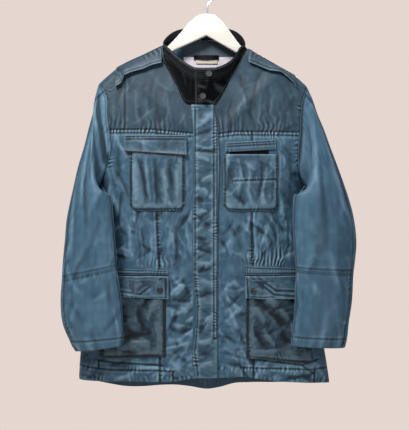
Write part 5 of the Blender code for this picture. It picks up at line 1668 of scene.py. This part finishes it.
shoulderFlaps = {
    -1: [(-216, -250), (-203, -242), (-194, -222), (-167, -212), (-150, -207), (-134, -199), (-108, -192)],
    1: [(208, -252), (201, -240), (188, -229), (172, -217), (147, -212), (119, -199), (97, -190)],
}


def makeShoulderFlap(side, word):
    line = shoulderFlaps[side]
    xs = np.linspace(line[0][0], line[-1][0], 70)
    low = straightCurve(line, 0, 1, xs)
    high = straightCurve(jacket["shoulder"], 0, 1, xs) - 0.8
    fall = np.linspace(0.0, 1.0, 24)[:, None]
    x = np.tile(xs, (24, 1))
    z = high*(1 - fall) + low*fall
    if side > 0:
        x, z = x[:, ::-1], z[:, ::-1]

    def detail(px, pz):
        top = straightCurve(jacket["shoulder"], 0, 1, px)
        free = np.clip((top - pz) / np.maximum(top - straightCurve(line, 0, 1, px), 1.0), 0.0, 1.0)
        return (7.5*free**2 + puckersAt([(line[0][0], -212, line[-1][0], -160, 20, 12, 0.7)], px, pz, 151)
                + 0.9*softNoise(px, pz, 24, 152)*free + 0.35*crumpled(px, pz, 12, 153)*free)
    rows = []
    for (x0, z0), (x1, z1) in zip(line, line[1:]):
        rows.append((x0, z0 + 5.0, x1, z1 + 5.0))
    shoulder = [p for p in jacket["shoulder"]
                if min(line[0][0], line[-1][0]) < p[0] < max(line[0][0], line[-1][0])]
    for (x0, z0), (x1, z1) in zip(shoulder, shoulder[1:]):
        rows.append((x0, z0 - 4.5, x1, z1 - 4.5))
    made, area = patch("flap_shoulder_" + word, x, z, 0.8, jacket["patch"], detail, rows, "yoke cloth",
                       floor=0.0)
    sheets["flap_shoulder_" + word] = (made, ["shoulder_flap_" + word], (0.130, 0.050), area)


makePlacket()
makeChest()
for side, word in ((-1, "right"), (1, "left")):
    makeLower(side, word)
    makeShoulderFlap(side, word)
print("pockets, flaps and placket made")


# ---- inside the neck: layers on the inner face of the back
neckFacing = {"right": -58.0, "left": 66.0, "belowSeam": 7.0, "low": -166.0, "liningLow": -240.0}


def neckLayer(name, node, x, z, depth, thick, cloth, flatSize, relief=0.3, arch=0.0):
    base = np.stack([x, backY(x, z), z], axis=2)
    normals = normalsOf(base, 1)
    height = relief*crumpled(x, z, 14, 161) + puckersAt([(-70, -168, 70, -168, 8, 9, relief)], x, z, 163)
    height = np.abs(height) + arch
    rear = base - normals * (jacket["wall"] + depth)
    front = rear - normals * (thick + height)[..., None]
    rear = rear - normals * (0.6*height)[..., None]
    made = clothWall(name, front, rear, finishes[cloth], reliefOf(height, 3, gain=0.8),
                     np.stack([x, z], axis=2))
    sheets[name] = (made, [node], flatSize, areaOf(base))


def makeNeckInside():
    xs = np.linspace(neckFacing["right"], neckFacing["left"], 70)
    nape = jacket["backNeck"][-1] + jacket["backNeck"][1][-2::-1]
    seam = np.interp(xs, *zip(*nape)) - neckFacing["belowSeam"]
    fall = np.linspace(0.0, 1.0, 24)[:, None]
    x = np.tile(xs, (24, 1))
    z = seam*(1 - fall) + neckFacing["low"]*fall
    neckLayer("facing_neck", "neck_facing", x, z, 1.8, 1.6, "facing cloth", (0.130, 0.034))
    x, z = boxGrid(xs[0], xs[-1], neckFacing["low"] - 1.5, neckFacing["liningLow"], 70, 40)
    neckLayer("lining_neck", "neck_lining", x, z, 1.3, 1.6, "lining cloth", (0.130, 0.076))
    x, z = boxGrid(-33, 27, -164, -174, 40, 7)
    arch = np.sin(np.linspace(0, math.pi, 40))[None, :]*3.0*np.ones((7, 1))
    neckLayer("loop_neck", "hanging_loop", x, z, 4.2, 1.6, "collar cloth", (0.062, 0.0105), 0.0, arch)
    x, z = boxGrid(-28, 24, -176, -184, 30, 6)
    neckLayer("tape_neck", "neck_tape", x, z, 4.2, 1.0, "tape cloth", (0.053, 0.0105), 0.15)


makeNeckInside()

# ---- press studs: a rolled ring round a shallow dished cap
stud = {
    "sides": 40, "radius": 7.6,
    "profile": [(1.0, 0.0), (1.02, 0.7), (0.98, 1.5), (0.90, 1.95), (0.80, 2.0), (0.72, 1.7), (0.62, 1.35),
                (0.42, 1.2),
                (0.30, 1.3), (0.22, 1.75), (0.12, 1.9), (0.0, 1.95)],
}


def makeStud(name, node, base, out):
    out = np.array(out, float) / np.linalg.norm(out)
    sideA = np.cross(out, (0.0, 0.0, 1.0))
    sideA /= np.linalg.norm(sideA)
    sideB = np.cross(out, sideA)
    points, faces = [], []
    sides = stud["sides"]
    for share, height in stud["profile"][:-1]:
        for k in range(sides):
            turn = 2*math.pi*k/sides
            spoke = sideA*math.cos(turn) + sideB*math.sin(turn)
            points.append((base + spoke*stud["radius"]*share + out*height)*mm)
    points.append((base + out*stud["profile"][-1][1])*mm)
    rings = len(stud["profile"]) - 1
    for i in range(rings - 1):
        for k in range(sides):
            n = (k + 1) % sides
            faces.append((i*sides + k, i*sides + n, (i + 1)*sides + n, (i + 1)*sides + k))
    for k in range(sides):
        faces.append(((rings - 1)*sides + k, (rings - 1)*sides + (k + 1) % sides, rings*sides))
    faces.append(tuple(reversed(range(sides))))
    mesh = bpy.data.meshes.new(name)
    mesh.from_pydata([tuple(p) for p in points], [], faces)
    mesh.materials.append(snapMetal)
    mesh.shade_smooth()
    mesh.set_sharp_from_angle(angle=math.radians(50))
    made = bpy.data.objects.new(name, mesh)
    bpy.context.scene.collection.objects.link(made)
    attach(made, "root")
    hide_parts(node)
    return made


def studOn(node):
    low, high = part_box(node)
    return np.array([(low.x + high.x)/2, high.y, (low.z + high.z)/2]) / mm


for node in ("snap_flap_right", "snap_flap_left", "snap_collar", "snap_throat"):
    tilt = (0.0, -1.0, 0.22) if node in ("snap_collar", "snap_throat") else (0.0, -1.0, 0.03)
    makeStud("stud" + node[4:], node, studOn(node) + np.array((0.0, -0.6, 0.0)), tilt)

for node, finish in (("hanger_wood", paintedWood), ("hanger_hook", hookWire)):
    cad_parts[node].data.materials.clear()
    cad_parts[node].data.materials.append(finish)
print("studs and hanger finished")

# ---- attach every cloth piece, hide the solid parts it stands for, and print its area and flat size
for name, (made, nodes, flatSize, area) in sheets.items():
    width, length = flatSize
    if width*length < area or width*length > 3*area:
        length = area / width * 1.04
    length = max(length, 0.0101)
    print("  ", name, "area", round(area, 5))
    dressed(made, nodes)
    print("  ", name, "flat", round(width, 3), "x", round(length, 3), "area", round(area, 4))

# ---- floor, world and soft lights
floorSize = {"half": 1.5, "z": -1.5}
h, z = floorSize["half"], floorSize["z"]
floorMesh = bpy.data.meshes.new("floor")
floorMesh.from_pydata([(-h, -h, z), (h, -h, z), (h, h, z), (-h, h, z)], [], [(0, 1, 2, 3)])
floor = bpy.data.objects.new("floor", floorMesh)
floorPaint = bpy.data.materials.new("pale floor")
floorPaint.use_nodes = True
floorPaint.node_tree.nodes["Principled BSDF"].inputs["Base Color"].default_value = (0.72, 0.66, 0.62, 1.0)
floorPaint.node_tree.nodes["Principled BSDF"].inputs["Roughness"].default_value = 0.9
floorMesh.materials.append(floorPaint)
bpy.context.scene.collection.objects.link(floor)

world = bpy.data.worlds.new("pale room")
world.use_nodes = True
background = world.node_tree.nodes["Background"]
seen = world.node_tree.nodes.new("ShaderNodeBackground")
seen.inputs["Color"].default_value = (0.785, 0.680, 0.630, 1.0)
background.inputs["Color"].default_value = (0.86, 0.90, 1.0, 1.0)
background.inputs["Strength"].default_value = 0.22
path = world.node_tree.nodes.new("ShaderNodeLightPath")
choose = world.node_tree.nodes.new("ShaderNodeMixShader")
world.node_tree.links.new(path.outputs["Is Camera Ray"], choose.inputs[0])
world.node_tree.links.new(background.outputs[0], choose.inputs[1])
world.node_tree.links.new(seen.outputs[0], choose.inputs[2])
world.node_tree.links.new(choose.outputs[0], world.node_tree.nodes["World Output"].inputs["Surface"])
bpy.context.scene.world = world

lamps = {  # place, size, watts, colour
    "key": ((-0.8, -1.3, 1.15), 0.6, 76.0, (1.0, 0.97, 0.93)),
    "fill": ((1.6, -1.8, -0.2), 1.4, 12.0, (0.90, 0.95, 1.0)),
    "top": ((0.2, -0.2, 1.3), 0.8, 16.0, (1.0, 0.98, 0.95)),
    "back": ((0.4, 2.2, 0.2), 1.2, 30.0, (1.0, 0.98, 0.96)),
}
for name, (place, size, watts, colour) in lamps.items():
    light = bpy.data.lights.new(name, "AREA")
    light.size = size
    light.energy = watts
    light.color = colour
    lamp = bpy.data.objects.new(name, light)
    lamp.location = place
    aim = Vector((0.0, 0.0, -0.5)) - Vector(place)
    lamp.rotation_euler = aim.to_track_quat("-Z", "Y").to_euler()
    bpy.context.scene.collection.objects.link(lamp)
bpy.context.scene.view_settings.view_transform = "Standard"
print("stage and lights ready")
